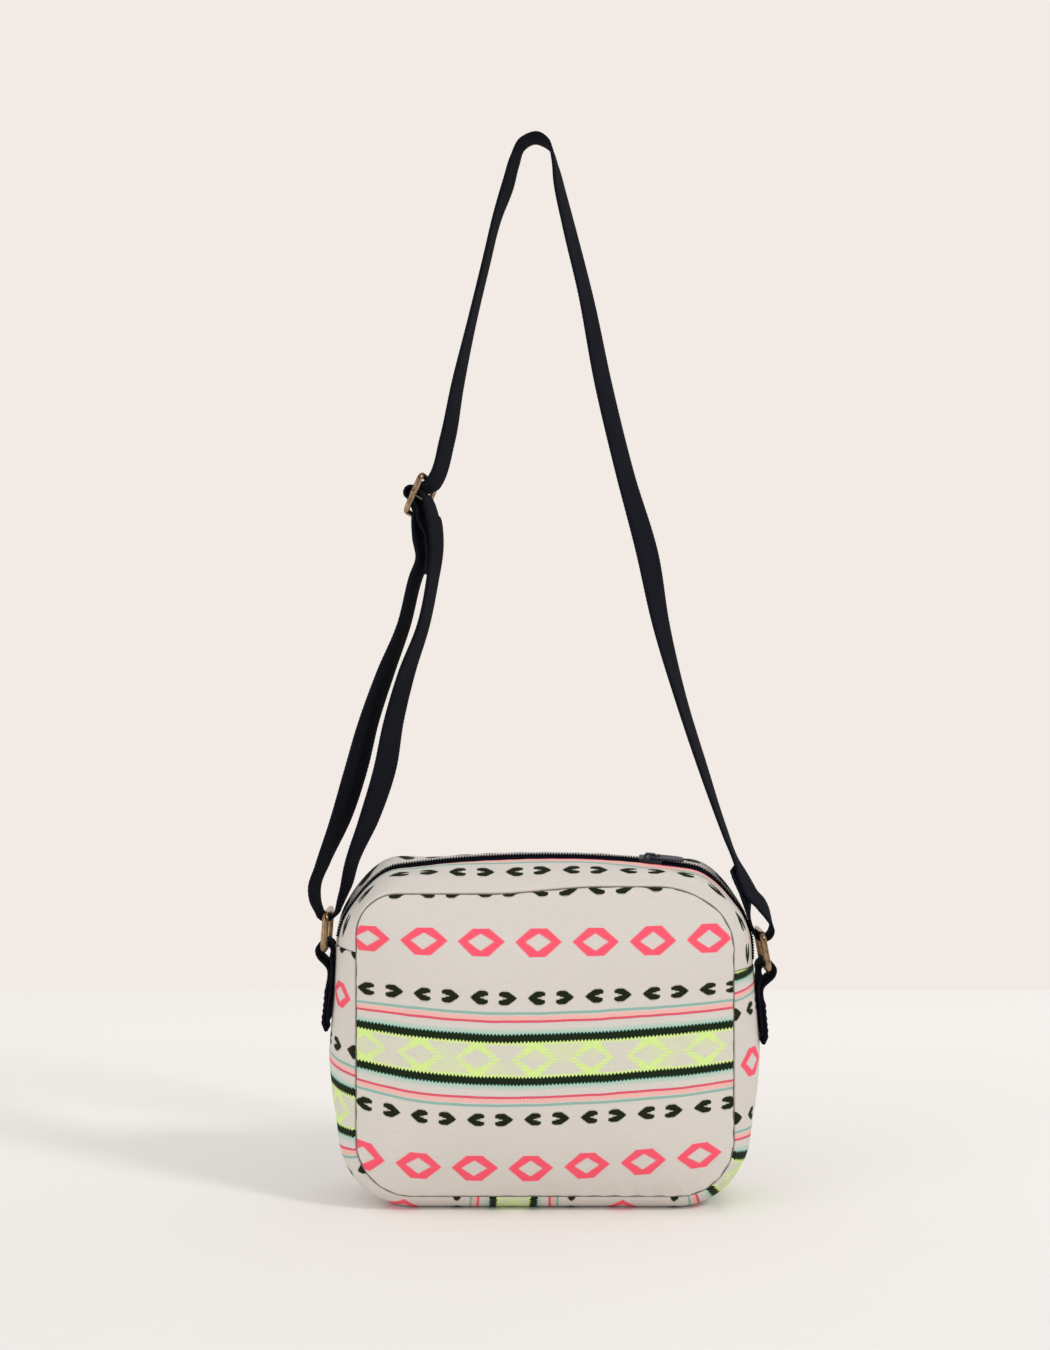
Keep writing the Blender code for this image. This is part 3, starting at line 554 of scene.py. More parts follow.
def front_top_weave(length, y):
    """Pattern place on the strip before the zip: stripes by the zip, arrows, and diamonds cut by the seam."""
    run = HALF_SEAM - length
    share = (-ZIP_FRONT_EDGE - y) / (HALF_DEPTH - ZIP_FRONT_EDGE)
    spread = CORNER_SPREAD * (ease(*RIGHT_CORNER_SPAN, -run) + ease(*LEFT_CORNER_SPAN, run)) * share
    wander = ROW_WANDER * noise.noise(Vector((run * ROW_WANDER_CLOSENESS, 0.3, 0.7)))
    spread += RIGHT_SPREAD * ease(*RIGHT_SPREAD_SPAN, -run)
    rise = FRONT_TOP_PLACE + wander + spread + across_arc(-ZIP_FRONT_EDGE, length) - across_arc(y, length)
    off_row = rise - ARROW_ROW / 1000.0
    pressed = PRESS * bell((run - PRESS_RUN) / PRESS_REACH) * bell(off_row / PRESS_HEIGHT)
    return (run - FRONT_TOP_SHIFT) * TOP_CROWDING, rise + off_row * pressed


def rear_top_weave(length, y):
    """Pattern place on the strip behind the zip."""
    run = HALF_SEAM - length
    start = across_arc(ZIP_REAR_EDGE, length)
    return (run + REAR_TOP_SHIFT) * TOP_CROWDING, REAR_TOP_PLACE + across_arc(y, length) - start


def tape_weave(length, y):
    """Pattern place on the zip's tapes."""
    return HALF_SEAM - length, y


def humps(run, shape):
    """Height of a row of humps at a run: each has its own place, reach and height."""
    return sum(height * bell((run - place) / reach) for place, reach, height in shape)


def front_top_fold(length, y):
    """Inward depth of the folds on the front strip, beside the top corners."""
    off = y - FRONT_FOLD_MIDDLE
    wave = math.sin(math.tau * off / FRONT_FOLD_PITCH)
    return FRONT_FOLD_DEPTH * humps(HALF_SEAM - length, FRONT_FOLDS) * wave * bell(off / FRONT_FOLD_REACH)


def rear_top_fold(length, y):
    """Inward depth of the rear strip's puff behind both top corners."""
    height = humps(HALF_SEAM - length, REAR_PUFFS)
    share = max(y - ZIP_REAR_EDGE, 0.0) / REAR_PUFF_PEAK
    return -height * share * math.exp(1.0 - share) * (1.0 - ease(*REAR_PUFF_SPAN, y))


# Cloth pieces
def make_panel(name, side, weave):
    """A puffed panel with its edge rolled into the seam."""
    lengths = even(0.0, 2.0 * HALF_SEAM, CLOTH_STEP)[:-1]
    steps = [1.0 - SEAM_ROLL / PANEL_REACH * step for step in (*EDGE_STEPS, 1.5)]
    shares = steps + even(steps[-1] - 0.022, 0.03, 0.028)
    top, bottom, places = [], [], []
    for share in shares:
        row, under, spots = [], [], []
        for length in lengths:
            x, z = seam_at(length)[:2]
            distance = (1.0 - share) * math.hypot(x, z - SEAM_MIDDLE)
            face = panel_point(length, share, 0.0, side)
            depth = rolled(distance, SEAM_ROLL) + cloth_waves(face, length, distance, distance)
            row.append(panel_point(length, share, depth, side))
            under.append(panel_point(length, share, max(CLOTH, depth + LEAST_CLOTH), side))
            spots.append(weave(face))
        top.append(row)
        bottom.append(under)
        places.append(spots)
    face = panel_point(0.0, 0.0, 0.0, side)
    depth = cloth_waves(face, 0.0, 1.0, 1.0)
    centre = (panel_point(0.0, 0.0, depth, side),
              panel_point(0.0, 0.0, max(CLOTH, depth + LEAST_CLOTH), side), weave(face))
    return shell(name, top, bottom, places, centre)


def make_strip(name, reach, across, weave, edge_rolls=(0.0, 0.0, 0.0), fold=None, tape=False):
    """A strip of the gusset, or a zip tape under it, whose edges are rolled: ends, low side, high side."""
    inset, thickness, step = (TAPE_TOP, TAPE, TAPE_STEP) if tape else (0.0, CLOTH, CLOTH_STEP)
    start, end = reach
    low_y, high_y = across
    end_roll, low_roll, high_roll = edge_rolls
    least_roll = 1e-5
    columns = with_edges(even(start, end, step), max(end_roll, least_roll))
    rows = with_edges(even(low_y, high_y, step), max(low_roll, high_roll, least_roll) * 0.75)
    top, bottom, places = [], [], []
    for y in rows:
        row, under, spots = [], [], []
        for length in columns:
            low, high = (y - low_y) * SWELL_ARC, (high_y - y) * SWELL_ARC
            ends = min(length - start, end - length)
            depth = max(rolled(low, low_roll), rolled(high, high_roll), rolled(ends, end_roll))
            if not tape:
                face = gusset_point(length, y, 0.0)
                from_seam = min(low if low_roll == SEAM_ROLL else low + FOLD_CALM,
                                high if high_roll == SEAM_ROLL else high + FOLD_CALM)
                calm = BASE_CALM if face.z < BASE_CALM_HEIGHT else 1.0
                depth += calm * cloth_waves(face, length, min(low, high), from_seam)
            bend = fold(length, y) if fold else 0.0
            row.append(gusset_point(length, y, inset + depth + bend))
            under.append(gusset_point(length, y, inset + max(thickness, depth + LEAST_CLOTH) + bend))
            spots.append(weave(length, y))
        top.append(row)
        bottom.append(under)
        places.append(spots)
    return shell(name, top, bottom, places)


# Node trees
class Value:
    """An output in a node tree, which can stand in an ordinary sum."""

    def __init__(self, socket):
        self.socket = socket
        self.tree = socket.id_data

    def __add__(self, other):
        return calc("ADD", self, other)

    def __radd__(self, other):
        return calc("ADD", other, self)

    def __sub__(self, other):
        return calc("SUBTRACT", self, other)

    def __rsub__(self, other):
        return calc("SUBTRACT", other, self)

    def __mul__(self, other):
        return calc("MULTIPLY", self, other)

    def __truediv__(self, other):
        return calc("DIVIDE", self, other)


def add_node(tree, kind, inputs, **settings):
    """A node with its own settings, and inputs set from numbers, colours, sockets or values."""
    node = tree.nodes.new(kind)
    for word, setting in settings.items():
        setattr(node, word, setting)
    for word, value in inputs.items():
        if isinstance(value, Value):
            value = value.socket
        if isinstance(value, bpy.types.NodeSocket):
            tree.links.new(value, node.inputs[word])
        else:
            node.inputs[word].default_value = value
    return node


def calc(operation, *values):
    """One step of arithmetic on numbers and values."""
    tree = next(value.tree for value in values if isinstance(value, Value))
    node = add_node(tree, "ShaderNodeMath", dict(enumerate(values)), operation=operation)
    return Value(node.outputs[0])


def pingpong(value, reach):
    """Distance to the nearest even multiple of reach."""
    return calc("PINGPONG", value, reach)


def maximum(first, *others):
    for other in others:
        first = calc("MAXIMUM", first, other)
    return first


def between(value, low, high):
    """1 where value lies between two limits, 0 elsewhere."""
    return calc("GREATER_THAN", value, low) * calc("LESS_THAN", value, high)


def below(value, limit, soft):
    """1 where value is under limit, 0 above it, with an edge this soft."""
    inputs = {0: value, 1: limit - soft, 2: limit + soft, 3: 1.0, 4: 0.0}
    node = add_node(value.tree, "ShaderNodeMapRange", inputs, interpolation_type="SMOOTHSTEP")
    return Value(node.outputs[0])


def noise_at(place, closeness, detail=2.0, roughness=0.5):
    inputs = {"Vector": place, "Scale": closeness, "Detail": detail, "Roughness": roughness}
    return Value(add_node(place.tree, "ShaderNodeTexNoise", inputs).outputs[0])


def scaled(vector, factor):
    """A vector or a colour times a number."""
    node = add_node(vector.tree, "ShaderNodeVectorMath", {0: vector, "Scale": factor}, operation="SCALE")
    return Value(node.outputs[0])


def mix(share, first, second):
    """A colour between two others."""
    first, second = ((*colour, 1.0) if isinstance(colour, tuple) else colour for colour in (first, second))
    node = add_node(share.tree, "ShaderNodeMix", {0: share, 6: first, 7: second}, data_type="RGBA")
    return Value(node.outputs[2])


def shade(colour, factor, lift=0.0):
    """A written colour made lighter or darker."""
    return tuple(min(channel * factor + lift, 1.0) for channel in colour)


def axes_of(vector):
    """The first two numbers of a vector."""
    split = add_node(vector.tree, "ShaderNodeSeparateXYZ", {0: vector})
    return Value(split.outputs[0]), Value(split.outputs[1])


def pattern_place(tree):
    """The pattern's place in millimetres along and across, and as a vector."""
    place = scaled(Value(add_node(tree, "ShaderNodeUVMap", {}, uv_map="weave").outputs[0]), 1000.0)
    return (*axes_of(place), place)


def object_place(tree):
    """Object coordinates in millimetres."""
    return scaled(Value(add_node(tree, "ShaderNodeTexCoord", {}).outputs["Object"]), 1000.0)


def new_material(name, numbers):
    """A material and its shader, with numbers for the shader's own sockets."""
    made = bpy.data.materials.new(name)
    made.use_nodes = True
    shader = made.node_tree.nodes["Principled BSDF"]
    for word, number in numbers.items():
        shader.inputs[word].default_value = number
    return made, shader


def dress(shader, colour, relief, strength, roughness=None):
    """Give a shader its colour, its relief from a height in millimetres, and its roughness."""
    tree = colour.tree
    bump = add_node(tree, "ShaderNodeBump", {"Strength": strength, "Distance": 0.001, "Height": relief})
    tree.links.new(colour.socket, shader.inputs["Base Color"])
    tree.links.new(bump.outputs[0], shader.inputs["Normal"])
    if roughness is not None:
        tree.links.new(roughness.socket, shader.inputs["Roughness"])


# Stripes outwards from the centre of the lime band: start, end, colour, and strength at both
STRIPES = ((7.6, 8.9, LIME, 0.55, 0.95), (8.9, 13.0, FOREST, 1.0, 1.0), (13.0, 15.6, MINT, 1.0, 0.30),
           (18.85, 20.05, ROSE, 1.0, 1.0), (20.05, 22.4, LIGHT_PINK, 0.95, 0.85),
           (22.9, 24.3, TEAL, 0.85, 0.85))
STRIPE_REACH = 30.0
STRIPE_SOFT = 0.12
COLOUR_LEAD = 0.4
# Teeth of the dark stripes' edges and of the others, and the combs of loose yarn in mint and in light pink
DARK_END = 14.5
DARK_TOOTH = 1.3
PALE_TOOTH = 0.25
MINT_COMB = (13.3, 16.5, 0.60)
PINK_COMB = (20.1, 22.8, 0.38)
# The motifs, in millimetres from their own middles
BAND_EDGE = 8.3
LIME_RING = 12.3
LIME_HOLE = 5.3
LIME_YARN = 0.83
LIME_MIDDLE = 5.5
PINK_RING = 12.4
PINK_HOLE = 4.6
PINK_HEIGHT = 7.5
ARROW_TIP = 12.35
ARROW_LENGTH = 9.4
ARROW_WIDTH = 3.65
ARROW_EDGE = 0.25


def stripe_ramp(height):
    """Colour and strength of the stripes at a height from the band's centre."""
    black = (0.0, 0.0, 0.0, 1.0)
    place = height / STRIPE_REACH
    colours, strengths = (add_node(height.tree, "ShaderNodeValToRGB", {0: place}) for _ in range(2))
    for ramp in (colours.color_ramp, strengths.color_ramp):
        ramp.elements[0].color = black
        ramp.elements[1].position = 1.0
        ramp.elements[1].color = black
    colours.color_ramp.interpolation = "CONSTANT"
    levels = strengths.color_ramp.elements
    before = None
    for start, end, colour, first, last in STRIPES:
        joined = start == before
        change = start if joined else start - COLOUR_LEAD
        colours.color_ramp.elements.new(change / STRIPE_REACH).color = (*colour, 1.0)
        stops = [(start + STRIPE_SOFT, first), (end - STRIPE_SOFT, last), (end + STRIPE_SOFT, 0.0)]
        if joined:
            levels.remove(levels[-2])
        else:
            stops.insert(0, (start - STRIPE_SOFT, 0.0))
        for spot, level in stops:
            levels.new(spot / STRIPE_REACH).color = (level, level, level, 1.0)
        before = end
    return Value(colours.outputs[0]), Value(strengths.outputs[0])


def toothed_stripes(u, height):
    """Colour and strength of the stripes, with saw-toothed edges and combs of loose yarn."""
    saw = pingpong(u, TOOTH / 2.0) / (TOOTH / 2.0)
    past_dark = calc("GREATER_THAN", height, DARK_END)
    tooth = (saw - 0.5) * (DARK_TOOTH + past_dark * (PALE_TOOTH - DARK_TOOTH))
    colour, strength = stripe_ramp(height + tooth)
    mint, pink = (between(height, low, high) * share for low, high, share in (MINT_COMB, PINK_COMB))
    return colour, strength * (1.0 - below(saw, 0.50, 0.35) * (mint + pink))


def lime_rings(to_centre, height, step_height, drift):
    """Strength of the lime yarn in the middle band: rings hatched by single yarns, and a faint haze."""
    in_band = below(height, BAND_EDGE, 0.2)
    outside = below(to_centre + step_height * 1.12, LIME_RING, 0.8)
    hole = below(to_centre * 0.66 + step_height, LIME_HOLE, 0.5)
    rings = outside * (1.0 - hole) * in_band
    hatch = below(pingpong(height, LIME_YARN), 0.50, 0.22) * 0.72 + 0.20
    dense = below(to_centre, LIME_MIDDLE, 1.5) * 0.8
    haze = in_band * below(drift, 0.47, 0.10) * 0.26 + in_band * 0.08
    return maximum(rings * maximum(hatch, dense), haze)


def arrow_pairs(step_u, step_height):
    """Strength of the arrows, which point away from each other in pairs."""
    from_mirror = pingpong(step_u - MOTIF_PITCH / 4.0, MOTIF_PITCH / 2.0)
    along = (ARROW_TIP - from_mirror) / ARROW_LENGTH
    off_row = calc("ABSOLUTE", step_height - ARROW_ROW)
    outer = calc("POWER", calc("MINIMUM", along / 0.50, 1.0), 0.85) * ARROW_WIDTH
    outer = outer - maximum(along - 0.80, 0.0) * 4.5
    notch = (along - 0.60) * 3.1
    lobes = below(off_row, outer, ARROW_EDGE) * (1.0 - below(off_row, notch, ARROW_EDGE))
    return lobes * between(along, 0.0, 1.0)


def pink_rings(to_centre, step_height):
    """Strength of the pink rings, whose tops and bottoms are cut flat."""
    off_row = DIAMOND_ROW - step_height
    outside = below(to_centre + off_row * 1.10, PINK_RING, 0.5)
    hole = below(to_centre * 0.68 + off_row, PINK_HOLE, 0.4)
    return outside * below(off_row, PINK_HEIGHT, 0.3) * (1.0 - hole)


def cloth_finish():
    """Undyed woven cotton with neon bands, arrows and diamonds woven in thicker yarn."""
    made, shader = new_material("woven_cotton", {"Roughness": 0.88, "Sheen Weight": 0.03,
                                                 "Specular IOR Level": 0.10})
    raw_u, raw_v, place = pattern_place(made.node_tree)
    # The rows and columns wander a little, and the motifs' edges step from yarn to yarn
    drift = noise_at(place, 0.035)
    sway = (drift - 0.5) * 2.6
    u, v = raw_u + sway, raw_v + sway * 0.55
    step_u = (calc("FLOOR", u / STEP_ALONG) + 0.5) * STEP_ALONG
    step_v = (calc("FLOOR", v / WEFT_PITCH) + 0.5) * WEFT_PITCH
    height, step_height = pingpong(v, REPEAT / 2.0), pingpong(step_v, REPEAT / 2.0)
    to_centre = pingpong(step_u, MOTIF_PITCH / 2.0)
    # Threads of the plain ground
    warp = calc("SINE", u * (math.tau / WARP_PITCH))
    weft = calc("SINE", v * (math.tau / WEFT_PITCH))
    grain = noise_at(place, 0.9, 3.0, 0.65)
    along_weft = add_node(made.node_tree, "ShaderNodeMapping", {"Vector": place, "Scale": (0.09, 1.4, 1.0)})
    slub = noise_at(Value(along_weft.outputs[0]), 1.0)
    tone = warp * 0.025 + weft * 0.015 + (grain - 0.5) * 0.20 + (slub - 0.5) * 0.16
    ground = mix(0.5 + tone, shade(GREIGE, 0.72), shade(GREIGE, 1.28))
    # Stripes and motifs on the ground
    colour, strength = toothed_stripes(u, height)
    lime = lime_rings(to_centre, height, step_height, drift)
    arrow = arrow_pairs(step_u, step_height)
    pink = pink_rings(to_centre, step_height)
    coloured = mix(lime, mix(strength, ground, colour), LIME)
    coloured = mix(pink * 0.97, mix(arrow, coloured, OLIVE), PINK)
    coloured = scaled(coloured, 0.86 + noise_at(place, 1.6) * 0.28)
    # Relief: raised yarn in the stripes and motifs, ribs of the ground, and soft nap
    relief = maximum(strength, lime, arrow, pink) * 0.10 + warp * weft * 0.035 + (grain + slub) * 0.10
    dress(shader, coloured, relief, 0.8, 0.78 + grain * 0.18)
    return made


def webbing_finish(name, colour, rib, column, relief):
    """Navy cotton webbing: ribs across, warp columns along, rib tops painted lighter and grooves darker as
    painted highlight and shade, and a little lint at random.
    """
    made, shader = new_material(name, {"Roughness": 0.8, "Specular IOR Level": 0.04})
    along, across, place = pattern_place(made.node_tree)
    offset = calc("MODULO", calc("FLOOR", across / column), 2.0) * (rib / 2.0)
    ribs = pingpong(along + offset, rib / 2.0) / (rib / 2.0)
    columns = pingpong(across, column / 2.0) / (column / 2.0)
    lift = calc("POWER", ribs, 0.6) * calc("POWER", columns, 0.5)
    fuzz = noise_at(place, 1.3, 3.0, 0.65)
    worn = noise_at(place, 0.05)
    # Painted highlight on the rib tops and painted shade in the grooves, from lift; fuzz and worn vary the
    # tone at random
    share = lift * 0.45 + fuzz * 0.45 + (worn - 0.5) * 0.5
    tinted = mix(share, shade(colour, 0.55), shade(colour, 1.9, 0.001))
    dress(shader, tinted, lift * relief + fuzz * (relief * 0.4), 0.9, 0.78 + fuzz * 0.20)
    return made


def brass_finish():
    """Antique brass: dark in its low spots, rubbed bright where it wears, with fine scratches."""
    made, shader = new_material("antique_brass", {"Roughness": 0.34, "Metallic": 1.0})
    place = object_place(made.node_tree)
    patina = noise_at(place, 0.32, 4.0, 0.6)
    speck = noise_at(place, 2.4, 2.0, 0.6)
    tinted = mix(patina * 1.2 + speck * 0.3 - 0.28, shade(BRASS, 0.35), shade(BRASS, 3.2))
    dress(shader, tinted, speck * 0.012 + patina * 0.03, 0.6, 0.16 + patina * 0.22)
    return made


def painted_finish():
    """Navy paint on the zip's slider, rubbed a little on its high spots."""
    made, shader = new_material("slider_paint", {"Roughness": 0.35, "Specular IOR Level": 0.25})
    place = object_place(made.node_tree)
    patch = noise_at(place, 0.5, 3.0)
    grain = noise_at(place, 5.0)
    tinted = mix(patch, (0.010, 0.011, 0.019), (0.024, 0.025, 0.038))
    dress(shader, tinted, grain * 0.01, 0.5, 0.26 + grain * 0.2)
    return made


def lining_finish():
    """Plain dark lining cloth inside the bag."""
    made, shader = new_material("lining_cloth", {"Roughness": 0.85})
    place = object_place(made.node_tree)
    checks = add_node(made.node_tree, "ShaderNodeTexChecker", {
        "Vector": place, "Scale": 2.2,
        "Color1": (0.020, 0.021, 0.040, 1.0), "Color2": (0.028, 0.030, 0.052, 1.0)})
    fuzz = noise_at(place, 0.6, 3.0)
    dress(shader, scaled(Value(checks.outputs[0]), 0.75 + fuzz * 0.5), fuzz * 0.05, 0.5)
    return made


def thread_finish(name, roughness, gloss, closeness, dark, light):
    """Sewing thread with a twist; the same finish in dark grey-brown makes the painted shadow line in the
    panels' seams.
    """
    made, shader = new_material(name, {"Roughness": roughness, "Specular IOR Level": gloss})
    twist = noise_at(object_place(made.node_tree), closeness)
    dress(shader, mix(twist, dark, light), twist * 0.05, 0.6)
    return made


# Webbing routes, as in the solids
def lower_bar(side):
    """Centre of the ring's lower bar, inside the loop of its tab."""
    out = HALF_WIDTH + CORNER_SWELL + side["stand_off"] + WEBBING / 2.0 + TAB_LOOP_RADIUS
    return Vector((side["sign"] * out, 0.0, CORNER_Z + side["bar_rise"]))


def upper_bar(side):
    """Centre of the ring's upper bar, which leans in over the bag."""
    return lower_bar(side) + RING_REACH * Vector((-side["sign"] * math.sin(side["lean"]), 0.0,
                                                  math.cos(side["lean"])))


def strand_stop(side, drop, stray, yaw):
    """A stop of the free strap: how far below its top, and how far right of the straight line to the ring."""
    bar = upper_bar(side)
    share = drop / side["strap_drop"]
    turn = math.radians(yaw)
    return (Vector((bar.x * share + stray, 0.0, blend(STRAP_TOP, bar.z, share))),
            Vector((math.sin(turn), math.cos(turn), 0.0)))


def adjuster_place():
    """Centre of the adjuster's middle bar, on the left strand."""
    return strand_stop(LEFT, ADJUSTER_DROP, ADJUSTER_STRAY, 0.0)[0]


def adjuster_axes():
    """Across, width and up directions of the adjuster's frame."""
    upward = Vector((math.sin(ADJUSTER_LEAN), 0.0, math.cos(ADJUSTER_LEAN)))
    yaw = Vector((math.sin(ADJUSTER_YAW), math.cos(ADJUSTER_YAW), 0.0))
    width = (yaw - upward * upward.dot(yaw)).normalized()
    return width.cross(upward), width, upward


def side_face(z):
    """Distance of the side gusset's face from the middle of the bag."""
    return HALF_WIDTH + swell_at(HALF_WIDTH, z)[0]


# Turns of the webbing in degrees: round a ring's lower bar and its upper one, and at the sewn end
TAB_TURN = (205.0, -25.0)
TAB_TURN_STEPS = 9
TAB_NECK = 2.3
TAB_RUN_STEPS = 3
LOOP_TURN = (190.0, 350.0)
LOOP_STEPS = 6
SEWN_TURN_START = -50.0
SEWN_TURN_END = -80.0


def tab_route(side):
    """Stops of the webbing folded round the ring's lower bar."""
    bar = lower_bar(side)
    loop_z = bar.z - TAB_LOOP_RADIUS + WEBBING / 2.0 + RING_RADIUS + GAP
    neck = loop_z - TAB_LOOP_RADIUS * TAB_NECK
    low = CORNER_Z + side["tab_low"]
    heights = [blend(low, neck, step / TAB_RUN_STEPS) for step in range(1, TAB_RUN_STEPS + 1)]
    under = GAP + WEBBING / 2.0
    over = under + WEBBING + GAP
    spots = [(side_face(z) + under, z) for z in (low + TAB_INNER_STEP, *heights)]
    for step in range(TAB_TURN_STEPS + 1):
        turn = math.radians(TAB_TURN[0] + (TAB_TURN[1] - TAB_TURN[0]) * step / TAB_TURN_STEPS)
        spots.append((abs(bar.x) + TAB_LOOP_RADIUS * math.cos(turn),
                      loop_z + TAB_LOOP_RADIUS * math.sin(turn)))
    spots += [(side_face(z) + over, z) for z in (*reversed(heights), low + TAB_INNER_STEP)]
    spots += [(side_face(low) + under + TAB_END_LIFT, low)]
    width = Vector((0.0, 1.0, 0.0))
    return [(Vector((side["sign"] * out, 0.0, z)), width) for out, z in spots]


def strap_loop(side):
    """Stops of the strap's turn under a ring's upper bar, from its left side to its right."""
    lift = STRAP_LOOP_RADIUS - WEBBING / 2.0 - RING_RADIUS - STRAP_LOOP_SLACK
    centre = upper_bar(side) + Vector((side["loop_shift"], 0.0, lift))
    width = Vector((math.sin(LOOP_YAW), math.cos(LOOP_YAW), 0.0))
    stops = []
    for step in range(LOOP_STEPS + 1):
        turn = math.radians(LOOP_TURN[0] + (LOOP_TURN[1] - LOOP_TURN[0]) * step / LOOP_STEPS)
        spot = centre + STRAP_LOOP_RADIUS * Vector((math.cos(turn), 0.0, math.sin(turn)))
        stops.append((spot, width))
    return stops


def adjuster_stop(up, out):
    """A stop of the strap given from the adjuster's middle bar: up the frame, and out to its left."""
    across, width, upward = adjuster_axes()
    return adjuster_place() + upward * up - across * out, width


def bar_turn(bar_up, radius, start, end, steps, bulge=0.0):
    """Stops round one bar of the adjuster, with angles in degrees from up the frame to its left."""
    stops = []
    for step in range(steps + 1):
        turn = math.radians(blend(start, end, step / steps))
        reach = radius + bulge * math.sin(math.pi * step / steps)
        stops.append(adjuster_stop(bar_up + reach * math.cos(turn), reach * math.sin(turn)))
    return stops


# The strap's free stretches: drop from its top, stray to the right, and yaw of its width
TAIL_END = [(0.3953, -0.0041, 16), (0.4013, -0.0031, 18), (0.4079, -0.0019, 18)]
RIGHT_STRAND = [(0.4215, 0.0071, 11), (0.4160, 0.0052, 18), (0.4105, 0.0017, 20), (0.4005, -0.0010, 16),
                (0.3940, -0.0020, 10), (0.3757, -0.0041, 10), (0.3430, -0.0064, 14), (0.3037, -0.0083, 17),
                (0.2644, -0.0081, 24), (0.2251, -0.0051, 31), (0.1831, -0.0055, 26), (0.1339, -0.0041, 24),
                (0.0848, -0.0006, 20), (0.0495, 0.0003, 18), (0.0265, 0.0011, 14)]
CREST = [(0.0135, 0.0096, 8), (0.0038, 0.0036, 4), (0.0000, -0.0045, 0), (0.0033, -0.0109, 4),
         (0.0125, -0.0125, 8)]
UPPER_LEFT_STRAND = [(0.0245, -0.0126, 10), (0.0415, -0.0136, 6), (0.0685, -0.0127, 5), (0.1012, -0.0114, 6),
                     (0.1339, -0.0096, 11), (0.1645, -0.0069, 15)]
OUTER_STRAND = [(0.2175, -0.0068, 15), (0.2285, -0.0024, 13), (0.2382, -0.0032, 12), (0.2644, -0.0025, 12),
                (0.2906, -0.0052, 18), (0.3168, -0.0069, 21), (0.3430, -0.0066, 25), (0.3691, -0.0074, 22),
                (0.3945, -0.0105, 12), (0.4065, -0.0113, 9), (0.4135, -0.0089, 6)]
INNER_STRAND = [(0.4120, 0.0053, 6), (0.4065, 0.0057, 9), (0.3945, 0.0052, 12), (0.3691, 0.0080, 22),
                (0.3430, 0.0090, 25), (0.3168, 0.0066, 21), (0.2906, 0.0063, 17), (0.2644, 0.0081, 11),
                (0.2382, 0.0060, 11), (0.2265, 0.0043, 13), (0.2155, 0.0012, 15)]


def strap_route():
    """Stops of the strap: sewn tail, right ring, crest, adjuster, left ring, adjuster."""
    layer = WEBBING + GAP
    bar = ADJUSTER_WIRE / 2.0
    sewn = bar + BAR_CLEARANCE + WEBBING / 2.0
    over = sewn + WEBBING + GAP
    past_end = bar + END_BAR_CLEARANCE + WEBBING / 2.0
    slant = math.degrees(math.asin((over + past_end) / BAR_PITCH))
    sewn_past_end = past_end + WEBBING + GAP
    sewn_slant = math.degrees(math.asin((sewn + sewn_past_end) / BAR_PITCH))
    route = [strand_stop(RIGHT, *stop) for stop in TAIL_END]
    route += strap_loop(RIGHT)
    route += [strand_stop(RIGHT, *stop) for stop in RIGHT_STRAND]
    route += [strand_stop(LEFT, *stop) for stop in CREST + UPPER_LEFT_STRAND]
    route += bar_turn(BAR_PITCH, past_end, -90.0, -90.0 - slant, 2)
    route += bar_turn(0.0, over, 90.0 - slant, 90.0 + slant, 4, ADJUSTER_BULGE)
    route += bar_turn(-BAR_PITCH, past_end, slant - 90.0, -90.0, 2)
    route += [strand_stop(LEFT, *stop) for stop in OUTER_STRAND]
    route += strap_loop(LEFT)
    route += [strand_stop(LEFT, *stop) for stop in INNER_STRAND]
    route += [adjuster_stop(-BAR_PITCH * 0.75, -past_end - 4.0 * layer)]
    route += bar_turn(0.0, sewn, SEWN_TURN_START, 90.0 + sewn_slant, 7)
    route += bar_turn(-BAR_PITCH, sewn_past_end, sewn_slant - 90.0, SEWN_TURN_END, 2)
    lowest, middle, highest = INNER_STRAND[-3:]
    route += [strand_stop(LEFT, highest[0] + layer, highest[1] - layer, highest[2]),
              strand_stop(LEFT, middle[0], middle[1] - layer, middle[2]),
              strand_stop(LEFT, middle[0] + SEWN_END_LENGTH / 2.0, lowest[1] - layer, lowest[2])]
    return route


Section = collections.namedtuple("Section", "point width thick along run")


def follow(route, step):
    """Sections of a webbing along a smooth curve through the route's stops."""
    points, widths = [], []
    gaps = [(after[0] - before[0]).length for before, after in zip(route, route[1:])]

    def pull(index, part):
        """Direction of the curve at a stop, per metre."""
        if index == 0:
            return (route[1][part] - route[0][part]) / gaps[0]
        if index == len(route) - 1:
            return (route[-1][part] - route[-2][part]) / gaps[-1]
        before = (route[index][part] - route[index - 1][part]) / gaps[index - 1]
        after = (route[index + 1][part] - route[index][part]) / gaps[index]
        return (before * gaps[index] + after * gaps[index - 1]) / (gaps[index - 1] + gaps[index])

    for index, gap in enumerate(gaps):
        pieces = max(1, round(gap / step))
        for piece in range(pieces + (index == len(gaps) - 1)):
            share = piece / pieces
            values = []
            for part in (0, 1):
                start, end = route[index][part], route[index + 1][part]
                rise = share * share * (3.0 - 2.0 * share)
                values.append(start * (1.0 - rise) + end * rise
                              + pull(index, part) * gap * share * (1.0 - share) ** 2
                              - pull(index + 1, part) * gap * share * share * (1.0 - share))
            points.append(values[0])
            widths.append(values[1])
    sections = []
    run = 0.0
    for index, point in enumerate(points):
        along = (points[min(index + 1, len(points) - 1)] - points[max(index - 1, 0)]).normalized()
        width = (widths[index] - along * along.dot(widths[index])).normalized()
        if index:
            run += (point - points[index - 1]).length
        sections.append(Section(point, width, along.cross(width).normalized(), along, run))
    return sections


